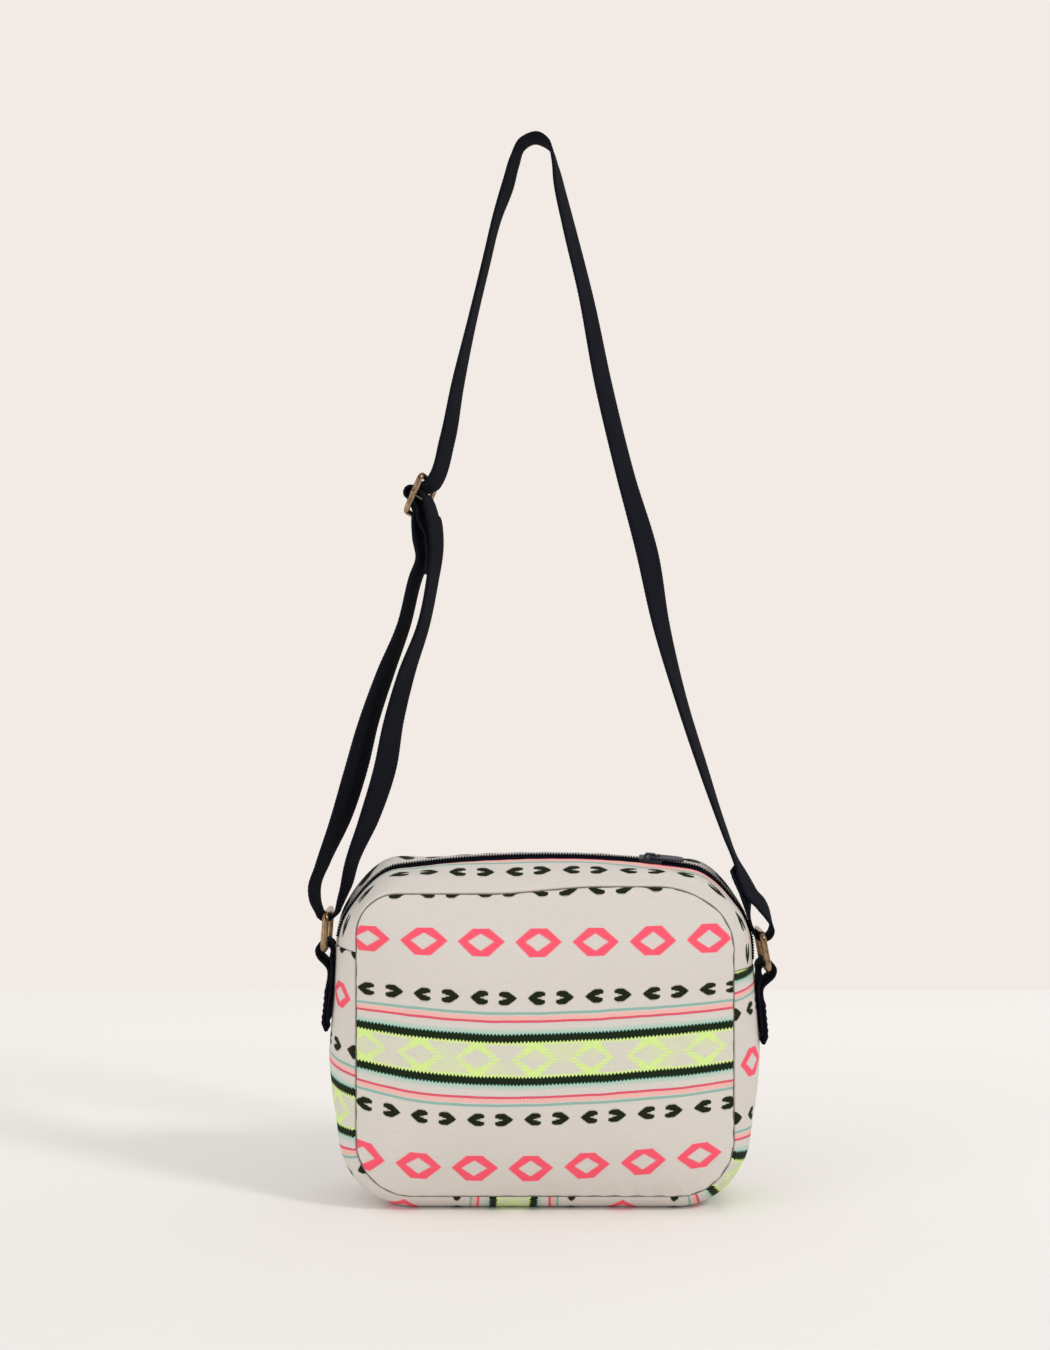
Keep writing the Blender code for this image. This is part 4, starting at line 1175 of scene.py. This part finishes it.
# Section of the webbing: ribs that scallop its edges and swell its faces, and edges turned round
WEBBING_STEP = 0.00077
SCALLOP = 0.0023
SCALLOP_DEPTH = 0.00034
RIB_SWELL = 0.06
EDGE_ROUND = 0.00072
EDGE_TURNS = (75.0, 40.0, 0.0, -40.0, -75.0)
FACE_SHARES = (0.62, 0.22)
END_PINCH = 0.15
END_PINCH_REACH = 0.0010
BACK_FACE_SHIFT = 0.002


def webbing_outline():
    """Outline of a section: share of half width, distance in from the edge, share of half thickness."""
    outer, inner = FACE_SHARES
    edge = [(EDGE_ROUND * (1.0 - math.cos(turn)), math.sin(turn)) for turn in map(math.radians, EDGE_TURNS)]
    outline = [(share, 0.0, 1.0) for share in (-outer, -inner, inner, outer)]
    outline += [(1.0, back, rise) for back, rise in edge]
    outline += [(share, 0.0, -1.0) for share in (outer, inner, -inner, -outer)]
    outline += [(-1.0, back, rise) for back, rise in reversed(edge)]
    return outline


def make_webbing(name, route, corner=0.0):
    """Webbing along a route, with the scalloped edges of its ribs and the corners of its ends rounded."""
    sections = follow(route, WEBBING_STEP)
    outline = webbing_outline()
    work = bmesh.new()
    loops, places = [], []
    total = sections[-1].run
    for point, width, thick, _, run in sections:
        bulge = abs(math.sin(math.pi * run / SCALLOP))
        ends = min(run, total - run)
        pinch = 1.0 - END_PINCH * (1.0 - ease(0.0, END_PINCH_REACH, ends))
        half_width = WEBBING_WIDTH / 2.0 - SCALLOP_DEPTH * (1.0 - bulge) - rolled(ends, corner)
        half_thick = WEBBING / 2.0 * (1.0 - RIB_SWELL + RIB_SWELL * bulge) * pinch
        loop = []
        for share, back, rise in outline:
            across = share * half_width - math.copysign(back, share)
            loop.append(work.verts.new(point + width * across + thick * (half_thick * rise)))
            places.append((run, across + (BACK_FACE_SHIFT if rise < 0 else 0.0)))
        loops.append(loop)
    skin(work, loops)
    return finish_mesh(name, work, places), sections


# Metal wire
WIRE_SIDES = 20
WIRE_CORNER_STEPS = 8
WIRE_RUN_STEPS = 6
# Domed ends of a bar: how far in from the end and how wide, as shares of its radius
BAR_DOME = ((0.0, 0.45), (0.12, 0.75), (0.4, 0.97), (0.7, 1.0))


def make_wire(width, height, corner, wire, place):
    """A round wire bent to a rounded rectangle in the YZ plane of its place."""
    work = bmesh.new()
    stops = []
    for quarter, (sign_y, sign_z) in enumerate(((1.0, 1.0), (-1.0, 1.0), (-1.0, -1.0), (1.0, -1.0))):
        centre = Vector((0.0, sign_y * (width / 2.0 - corner), sign_z * (height / 2.0 - corner)))
        for step in range(WIRE_CORNER_STEPS + 1):
            turn = math.pi / 2.0 * (quarter + step / WIRE_CORNER_STEPS)
            outward = Vector((0.0, math.cos(turn), math.sin(turn)))
            stops.append((centre + outward * corner, outward))
    filled = []
    for index, (centre, outward) in enumerate(stops):
        filled.append((centre, outward))
        if (index + 1) % (WIRE_CORNER_STEPS + 1) == 0:
            after = stops[(index + 1) % len(stops)][0]
            for step in range(1, WIRE_RUN_STEPS):
                filled.append((centre.lerp(after, step / WIRE_RUN_STEPS), outward))
    angles = [math.tau * side / WIRE_SIDES for side in range(WIRE_SIDES)]
    loops = []
    for centre, outward in filled:
        spots = [centre + wire / 2.0 * (outward * math.cos(angle) + Vector((math.sin(angle), 0.0, 0.0)))
                 for angle in angles]
        loops.append([work.verts.new(place @ spot) for spot in spots])
    skin(work, loops, closed=True)
    return work


def add_bar(work, place, half, radius):
    """A straight bar along Y with domed ends, in the same bmesh."""
    stops = [(-half + radius * inward, share) for inward, share in BAR_DOME]
    stops += [(0.0, 1.0)] + [(-y, share) for y, share in reversed(stops)]
    angles = [math.tau * side / WIRE_SIDES for side in range(WIRE_SIDES)]
    loops = []
    for y, share in stops:
        spots = [Vector((radius * share * math.cos(angle), y, radius * share * math.sin(angle)))
                 for angle in angles]
        loops.append([work.verts.new(place @ spot) for spot in spots])
    skin(work, loops)


def ring_place(side):
    """Place of a ring's middle, turned to its lean."""
    turn = Matrix.Rotation(-side["sign"] * side["lean"], 4, "Y")
    return Matrix.Translation(lower_bar(side)) @ turn @ Matrix.Translation((0.0, 0.0, RING_REACH / 2.0))


# Repeated small pieces, by geometry nodes
ROD_SIDES = 6
COIL_RESOLUTION = 8
STITCH_RESOLUTION = 6


def repeat_tree(name, resolution):
    """A tree that sets one small rod on each point of a mesh, turned by the point's own angles."""
    tree = bpy.data.node_groups.new(name, "GeometryNodeTree")
    face = tree.interface
    face.new_socket("Geometry", in_out="INPUT", socket_type="NodeSocketGeometry")
    for word in ("Length", "Radius", "Bow"):
        face.new_socket(word, in_out="INPUT", socket_type="NodeSocketFloat")
    face.new_socket("Material", in_out="INPUT", socket_type="NodeSocketMaterial")
    face.new_socket("Geometry", in_out="OUTPUT", socket_type="NodeSocketGeometry")
    entry = tree.nodes.new("NodeGroupInput").outputs
    half = Value(entry["Length"]) * 0.5
    stops = {"Start": {0: half * -1.0}, "Middle": {2: Value(entry["Bow"]) * 2.0}, "End": {0: half}}
    ends = {word: add_node(tree, "ShaderNodeCombineXYZ", place).outputs[0] for word, place in stops.items()}
    arc = add_node(tree, "GeometryNodeCurveQuadraticBezier", {"Resolution": resolution, **ends})
    ring = add_node(tree, "GeometryNodeCurvePrimitiveCircle", {
        "Resolution": ROD_SIDES, "Radius": entry["Radius"]})
    rod = add_node(tree, "GeometryNodeCurveToMesh", {
        "Curve": arc.outputs[0], "Profile Curve": ring.outputs[0], "Fill Caps": True})
    turn = add_node(tree, "GeometryNodeInputNamedAttribute", {"Name": "turn"}, data_type="FLOAT_VECTOR")
    angles = add_node(tree, "FunctionNodeEulerToRotation", {0: turn.outputs[0]})
    points = add_node(tree, "GeometryNodeMeshToPoints", {0: entry["Geometry"]})
    place = add_node(tree, "GeometryNodeInstanceOnPoints", {
        "Points": points.outputs[0], "Instance": rod.outputs[0], "Rotation": angles.outputs[0]})
    real = add_node(tree, "GeometryNodeRealizeInstances", {0: place.outputs[0]})
    smooth = add_node(tree, "GeometryNodeSetShadeSmooth", {0: real.outputs[0]})
    finish = add_node(tree, "GeometryNodeSetMaterial", {
        "Geometry": smooth.outputs[0], "Material": entry["Material"]})
    add_node(tree, "NodeGroupOutput", {0: finish.outputs[0]})
    return tree


def set_rods(name, tree, spots, length, radius, bow, finish):
    """Small rods at (point, along, outward) spots, as one plain mesh."""
    mesh = bpy.data.meshes.new(name + "_points")
    mesh.from_pydata([tuple(point) for point, _, _ in spots], [], [])
    turns = []
    for _, along, outward in spots:
        across = outward.cross(along).normalized()
        raised = along.cross(across).normalized()
        turns += list(Matrix((along.normalized(), across, raised)).transposed().to_euler())
    mesh.attributes.new("turn", "FLOAT_VECTOR", "POINT").data.foreach_set("vector", turns)
    holder = add_object(name + "_points", mesh)
    modifier = holder.modifiers.new("rods", "NODES")
    modifier.node_group = tree
    values = {"Length": length, "Radius": radius, "Bow": bow, "Material": finish}
    for item in tree.interface.items_tree:
        if item.in_out == "INPUT" and item.name in values:
            modifier[item.identifier] = values[item.name]
    bpy.context.view_layer.update()
    made = add_object(name, evaluated_mesh(name, holder))
    bpy.data.objects.remove(holder)
    return made


# Stitches of the webbing
STITCH_PITCH = 0.0029
STITCH_INSET = 0.0028


def section_at(sections, run):
    """The section nearest to a running length."""
    return min(sections, key=lambda section: abs(section.run - run))


def stitch(section, across, along, face):
    """The spot of one stitch on one of a webbing's faces."""
    lift = section.thick * (WEBBING / 2.0 * face)
    return section.point + section.width * across + lift, along, section.thick * face


def stitch_shares(length):
    """Middles of the stitches on a line, as shares of its length."""
    count = max(1, int(length / STITCH_PITCH))
    return [(index + 0.5) / count for index in range(count)]


def stitch_box(sections, start, end, face):
    """A sewn box with a cross in it."""
    reach = WEBBING_WIDTH / 2.0 - STITCH_INSET
    spots = []
    for across in (-reach, reach):
        for share in stitch_shares(abs(end - start)):
            section = section_at(sections, blend(start, end, share))
            spots.append(stitch(section, across, section.along, face))
    for run in (start, end):
        section = section_at(sections, run)
        for share in stitch_shares(2.0 * reach):
            spots.append(stitch(section, blend(-reach, reach, share), section.width, face))
    for lean in (-1.0, 1.0):
        for share in stitch_shares(math.hypot(end - start, 2.0 * reach)):
            section = section_at(sections, blend(start, end, share))
            along = (section.along * (end - start) + section.width * (2.0 * reach * lean)).normalized()
            spots.append(stitch(section, lean * blend(-reach, reach, share), along, face))
    return spots


# Zip: its turns lie this far in from half the rail, span this much each way, and sit this deep
ZIP_LINE_STEPS = 500
TURN_INSET = 0.0002
TURN_SPAN = 0.0012
TURN_DEPTH = 0.0006
# The bound edge of the coil on each tape
EDGE_STEP = 0.0012
EDGE_RADIUS = 0.0007
EDGE_HEIGHT = 0.0008
EDGE_DEPTH = 0.0011
EDGE_SIDES = 10


def zip_runs():
    """Seam lengths and running lengths along the zip's line."""
    fine = numpy.linspace(ZIP_START, ZIP_END, ZIP_LINE_STEPS)
    line = [gusset_point(length, -ZIP_FORWARD, 0.0) for length in fine]
    run = numpy.cumsum([0.0] + [(after - before).length for before, after in zip(line, line[1:])])
    return fine, run


def coil_spots(side):
    """Spots of the coil's visible turns on one side of the zip."""
    fine, run = zip_runs()
    count = int((run[-1] - 2.0 * ZIP_END_MARGIN) / COIL_PITCH)
    y = side * (RAIL_OUTER * 0.5 - TURN_INSET) - ZIP_FORWARD
    spots = []
    for turn in range(count):
        place = ZIP_END_MARGIN + (turn + (0.25 if side < 0 else 0.75)) * COIL_PITCH
        length = float(numpy.interp(place, run, fine))
        inner, outer = (gusset_point(length, y + shift * side, 0.0) for shift in (-TURN_SPAN, TURN_SPAN))
        outward = (gusset_point(length, y, 0.0) - gusset_point(length, y, 0.001)).normalized()
        spots.append((gusset_point(length, y, TURN_DEPTH), (outer - inner).normalized(), outward))
    return spots


def rail_mesh(name, side):
    """The bound edge of the coil on one tape."""
    fine, run = zip_runs()
    centre_y = side * (RAIL_OUTER - EDGE_RADIUS) - ZIP_FORWARD
    work = bmesh.new()
    loops, places = [], []
    for mark in numpy.arange(ZIP_END_MARGIN, run[-1] - ZIP_END_MARGIN, EDGE_STEP):
        length = float(numpy.interp(mark, run, fine))
        loop = []
        for step in range(EDGE_SIDES):
            angle = math.tau * step / EDGE_SIDES
            y = centre_y + EDGE_RADIUS * math.cos(angle)
            depth = EDGE_DEPTH - EDGE_HEIGHT * math.sin(angle)
            loop.append(work.verts.new(gusset_point(length, y, depth)))
            places.append((mark, EDGE_RADIUS * angle))
        loops.append(loop)
    skin(work, loops)
    return finish_mesh(name, work, places)


# Painted shadow along the seam round each panel: a thin dark tube sunk in the seam
SEAM_SHADOW_STEP = 0.0015
SEAM_SHADOW_RADIUS = 0.00032
SEAM_SHADOW_DEPTH = 0.00085
SEAM_SHADOW_SIDES = 8


def seam_shadow_line(name, side):
    """A thin dark tube at the bottom of the seam round a panel: painted shadow along the seam line."""
    work = bmesh.new()
    angles = [math.tau * step / SEAM_SHADOW_SIDES for step in range(SEAM_SHADOW_SIDES)]
    loops = []
    for length in even(0.0, 2.0 * HALF_SEAM, SEAM_SHADOW_STEP)[:-1]:
        _, _, out_x, out_z = seam_at(length)
        centre = panel_point(length, 1.0, SEAM_SHADOW_DEPTH, side)
        away = Vector((out_x, side, out_z)).normalized()
        level = Vector((-out_x, side, -out_z)).normalized()
        around = [away * math.cos(angle) + level * math.sin(angle) for angle in angles]
        loops.append([work.verts.new(centre + SEAM_SHADOW_RADIUS * outward) for outward in around])
    skin(work, loops, closed=True)
    return finish_mesh(name, work)


def refine(node, name, width):
    """A copy of a hard CAD piece with its loose triangles merged and its edges rounded."""
    work = bmesh.new()
    work.from_mesh(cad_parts[node].data)
    bmesh.ops.remove_doubles(work, verts=work.verts, dist=1e-6)
    bmesh.ops.dissolve_limit(work, angle_limit=math.radians(1.0), verts=work.verts, edges=work.edges)
    mesh = bpy.data.meshes.new(name)
    work.to_mesh(mesh)
    work.free()
    made = add_object(name, mesh)
    bevel = made.modifiers.new("bevel", "BEVEL")
    bevel.width = width
    bevel.segments = 3
    bevel.limit_method = "ANGLE"
    bevel.angle_limit = math.radians(30.0)
    bevel.harden_normals = False
    plain = evaluated_mesh(name, made)
    made.modifiers.clear()
    made.data = plain
    plain.shade_smooth()
    plain.set_sharp_from_angle(angle=math.radians(40.0))
    return made


def settle(piece, body, slot, finish, *nodes):
    """Ride a piece on its body, hide the nodes that it stands for, and give it its finish. The slot is not
    used.
    """
    if finish is not None:
        piece.data.materials.clear()
        piece.data.materials.append(finish)
    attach(piece, body)
    if nodes:
        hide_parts(*nodes)
    return piece


# Finishes
cloth = cloth_finish()
webbing = webbing_finish("navy_webbing", NAVY, 2.3, 1.25, 0.16)
tape_cloth = webbing_finish("zip_tape_cloth", NAVY, 0.9, 0.8, 0.05)
coil_nylon = webbing_finish("zip_coil_nylon", shade(NAVY, 1.3), 0.7, 0.7, 0.03)
brass = brass_finish()
slider_paint = painted_finish()
lining_cloth = lining_finish()
thread = thread_finish("navy_thread", 0.55, 0.20, 3.0, (0.008, 0.008, 0.014), (0.040, 0.038, 0.052))
# Dark grey-brown for the painted shadow line in the panels' seams
painted_seam_shadow = thread_finish("painted_seam_shadow", 0.9, 0.10, 1.2, (0.110, 0.097, 0.082), (0.260, 0.232, 0.200))

# Bag of woven cloth
half_opening = ZIP_OPENING / 2.0
settle(make_panel("front_panel_cloth", -1.0, front_weave), "bag", "woven_cloth", cloth, "front_panel")
settle(make_panel("back_panel_cloth", 1.0, back_weave), "bag", "woven_cloth", cloth, "back_panel")
settle(make_strip("side_gusset_cloth", (SIDE_START, SIDE_FINISH), (-GUSSET_EDGE, GUSSET_EDGE), side_weave,
                  (FOLD_ROLL, SEAM_ROLL, SEAM_ROLL)), "bag", "woven_cloth", cloth, "side_gusset")
settle(make_strip("zip_gusset_front_cloth", (ZIP_START, ZIP_END), (-GUSSET_EDGE, -ZIP_FORWARD - half_opening),
                  front_top_weave, (FOLD_ROLL, SEAM_ROLL, FOLD_ROLL), fold=front_top_fold),
       "bag", "woven_cloth", cloth, "zip_gusset_front")
settle(make_strip("zip_gusset_rear_cloth", (ZIP_START, ZIP_END), (half_opening - ZIP_FORWARD, GUSSET_EDGE),
                  rear_top_weave, (FOLD_ROLL, FOLD_ROLL, SEAM_ROLL), fold=rear_top_fold),
       "bag", "woven_cloth", cloth, "zip_gusset_rear")

# Painted shadow lines in the seams round both panels
for word, side in (("front", -1.0), ("back", 1.0)):
    settle(seam_shadow_line("seam_shadow_line_" + word, side), "bag", "woven_cloth", painted_seam_shadow)

# Zip
COIL_TURN_LENGTH = 0.0034
COIL_BOW = 0.0010
front_tape = (-ZIP_FORWARD - TAPE_REACH, -ZIP_FORWARD - TAPE_SPLIT / 2.0)
rear_tape = (TAPE_SPLIT / 2.0 - ZIP_FORWARD, TAPE_REACH - ZIP_FORWARD)
for word, across in (("front", front_tape), ("rear", rear_tape)):
    tape = make_strip("zip_tape_" + word + "_cloth", (ZIP_START, ZIP_END), across, tape_weave, tape=True)
    settle(tape, "bag", "zip_tape", tape_cloth, "zip_tape_" + word)
coil_tree = repeat_tree("zip coil turns", COIL_RESOLUTION)
for word, side in (("front", -1.0), ("rear", 1.0)):
    turns = set_rods("zip_coil_" + word, coil_tree, coil_spots(side), COIL_TURN_LENGTH, COIL_WIRE, COIL_BOW,
                     coil_nylon)
    settle(turns, "bag", "zip_coil", None, "zip_teeth_" + word)
    settle(rail_mesh("zip_coil_edge_" + word, side), "bag", "zip_coil", coil_nylon)
settle(refine("zip_slider", "slider_housing", 0.00016), "slider", "slider_paint", slider_paint, "zip_slider")
settle(refine("zip_puller", "slider_pull", 0.00018), "puller", "slider_paint", slider_paint, "zip_puller")

# Strap and tabs, with the sewn boxes' starts and ends in from the webbing's ends
TAB_BOX = (0.0230, 0.0030)
TAIL_BOX = (0.0030, 0.0120)
SEWN_BOX = (0.0170, 0.0030)
STITCH_LENGTH = 0.0025
STITCH_RADIUS = 0.00026
STITCH_BOW = 0.00030
strap, strap_sections = make_webbing("strap_webbing", strap_route())
settle(strap, "bag", "webbing", webbing, "strap")
stitch_tree = repeat_tree("thread stitches", STITCH_RESOLUTION)
stitches = []
for word, side in (("left", LEFT), ("right", RIGHT)):
    tab, tab_sections = make_webbing("tab_webbing_" + word, tab_route(side), TAB_CORNER)
    settle(tab, "bag", "webbing", webbing, "tab_" + word)
    total = tab_sections[-1].run
    outside = 1.0 if tab_sections[-3].thick.x * side["sign"] > 0.0 else -1.0
    stitches += stitch_box(tab_sections, total - TAB_BOX[0], total - TAB_BOX[1], outside)
total = strap_sections[-1].run
for start, end in (TAIL_BOX, (total - SEWN_BOX[0], total - SEWN_BOX[1])):
    for face in (-1.0, 1.0):
        stitches += stitch_box(strap_sections, start, end, face)
settle(set_rods("webbing_stitches", stitch_tree, stitches, STITCH_LENGTH, STITCH_RADIUS, STITCH_BOW, thread),
       "bag", "webbing", None)

# Rings and adjuster
ring_width = WEBBING_WIDTH + 2.0 * RING_SIDE_CLEARANCE + RING_WIRE
for word, side in (("left", LEFT), ("right", RIGHT)):
    work = make_wire(ring_width, RING_REACH, RING_CORNER_RADIUS, RING_WIRE, ring_place(side))
    settle(finish_mesh("ring_wire_" + word, work), word + "_ring", "brass", brass, "ring_" + word)
place = Matrix.Translation(adjuster_place()) @ Matrix(adjuster_axes()).transposed().to_4x4()
adjuster_width = WEBBING_WIDTH + 2.0 * ADJUSTER_SIDE_CLEARANCE + ADJUSTER_WIRE
work = make_wire(adjuster_width, 2.0 * BAR_PITCH, ADJUSTER_CORNER_RADIUS, ADJUSTER_WIRE, place)
add_bar(work, place, adjuster_width / 2.0 + ADJUSTER_WIRE / 2.0 + ADJUSTER_BAR_OVERHANG, ADJUSTER_WIRE * 0.47)
settle(finish_mesh("adjuster_wire", work), "adjuster", "brass", brass, "strap_adjuster")

# Lining, hidden inside the closed bag
for word in ("lining_front", "lining_back", "lining_gusset", "lining_top_front", "lining_top_rear"):
    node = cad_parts[word]
    node.data.materials.clear()
    node.data.materials.append(lining_cloth)

# Floor, lamps and camera
# Floor colours far back and near the front: the darker near colour is painted shade, the paler far colour
# painted light
FLOOR_FAR_PAINTED_LIGHT = (0.985, 0.950, 0.910)
FLOOR_NEAR_PAINTED_SHADE = (0.825, 0.797, 0.775)
WALL_COLOUR = (0.888, 0.831, 0.783)
FLOOR_EDGE = 0.753
FLOOR_REACH = 60.0
# Where the painted shade on the floor is darkest and how far back the painted light is palest, in millimetres
SHADE_START = 550.0
SHADE_LENGTH = 1100.0


def floor_finish():
    """Matt paper with painted shade that darkens it a little towards the front."""
    made, shader = new_material("floor_paper", {"Roughness": 0.95, "Specular IOR Level": 0.1})
    place = object_place(made.node_tree)
    _, back = axes_of(place)
    cloud = noise_at(place, 0.004)
    share = (back + SHADE_START) / SHADE_LENGTH + (cloud - 0.5) * 0.15
    made.node_tree.links.new(mix(share, FLOOR_NEAR_PAINTED_SHADE, FLOOR_FAR_PAINTED_LIGHT).socket, shader.inputs["Base Color"])
    return made


floor_mesh = bpy.data.meshes.new("floor")
floor_mesh.from_pydata([(-FLOOR_REACH, -FLOOR_REACH, 0.0), (FLOOR_REACH, -FLOOR_REACH, 0.0),
                        (FLOOR_REACH, FLOOR_EDGE, 0.0), (-FLOOR_REACH, FLOOR_EDGE, 0.0)], [], [(0, 1, 2, 3)])
floor_mesh.materials.append(floor_finish())
floor = add_object("floor", floor_mesh)


def add_area(name, place, target, size, power, colour):
    """A round lamp that faces a point."""
    lamp = bpy.data.lights.new(name, "AREA")
    lamp.shape = "DISK"
    lamp.size = size
    lamp.energy = power
    lamp.color = colour
    made = add_object(name, lamp)
    made.location = place
    made.rotation_euler = (Vector(target) - Vector(place)).to_track_quat("-Z", "Y").to_euler()


add_area("key_lamp", (1.75, -1.45, 1.95), (0.0, 0.0, 0.10), 0.55, 25.0, (1.0, 0.985, 0.965))
add_area("fill_lamp", (-1.9, -1.8, 0.45), (0.0, 0.0, 0.10), 2.2, 20.0, (1.0, 0.985, 0.975))

# Even soft light, and the wall's colour where the camera or a gloss sees past the floor
world = bpy.data.worlds.new("studio")
world.use_nodes = True
tree = world.node_tree
soft_light = tree.nodes["Background"]
soft_light.inputs["Color"].default_value = (1.0, 0.995, 0.99, 1.0)
soft_light.inputs["Strength"].default_value = 0.77
rays = tree.nodes.new("ShaderNodeLightPath").outputs
kinds = [Value(rays[word]) for word in ("Is Camera Ray", "Is Glossy Ray", "Is Transmission Ray")]
# Glosses see a darker room on the camera's side
_, back = axes_of(Value(tree.nodes.new("ShaderNodeTexCoord").outputs["Generated"]))
room = below(back, -0.1, 0.6) * 0.8 * kinds[1]
wall = add_node(tree, "ShaderNodeBackground", {"Color": (*WALL_COLOUR, 1.0), "Strength": 1.0 - room})
choice = {0: maximum(*kinds), 1: soft_light.outputs[0], 2: wall.outputs[0]}
either = add_node(tree, "ShaderNodeMixShader", choice)
tree.links.new(either.outputs[0], tree.nodes["World Output"].inputs["Surface"])
bpy.context.scene.world = world

camera_data = bpy.data.cameras.new("camera")
camera_data.sensor_width = 36.0
camera_data.lens = 56.5
camera = add_object("camera", camera_data)
camera.location = (-0.0105, -1.15, 0.283)
camera.rotation_euler = (math.pi / 2.0, 0.0, 0.0)
bpy.context.scene.camera = camera
bpy.context.scene.view_settings.view_transform = "Standard"
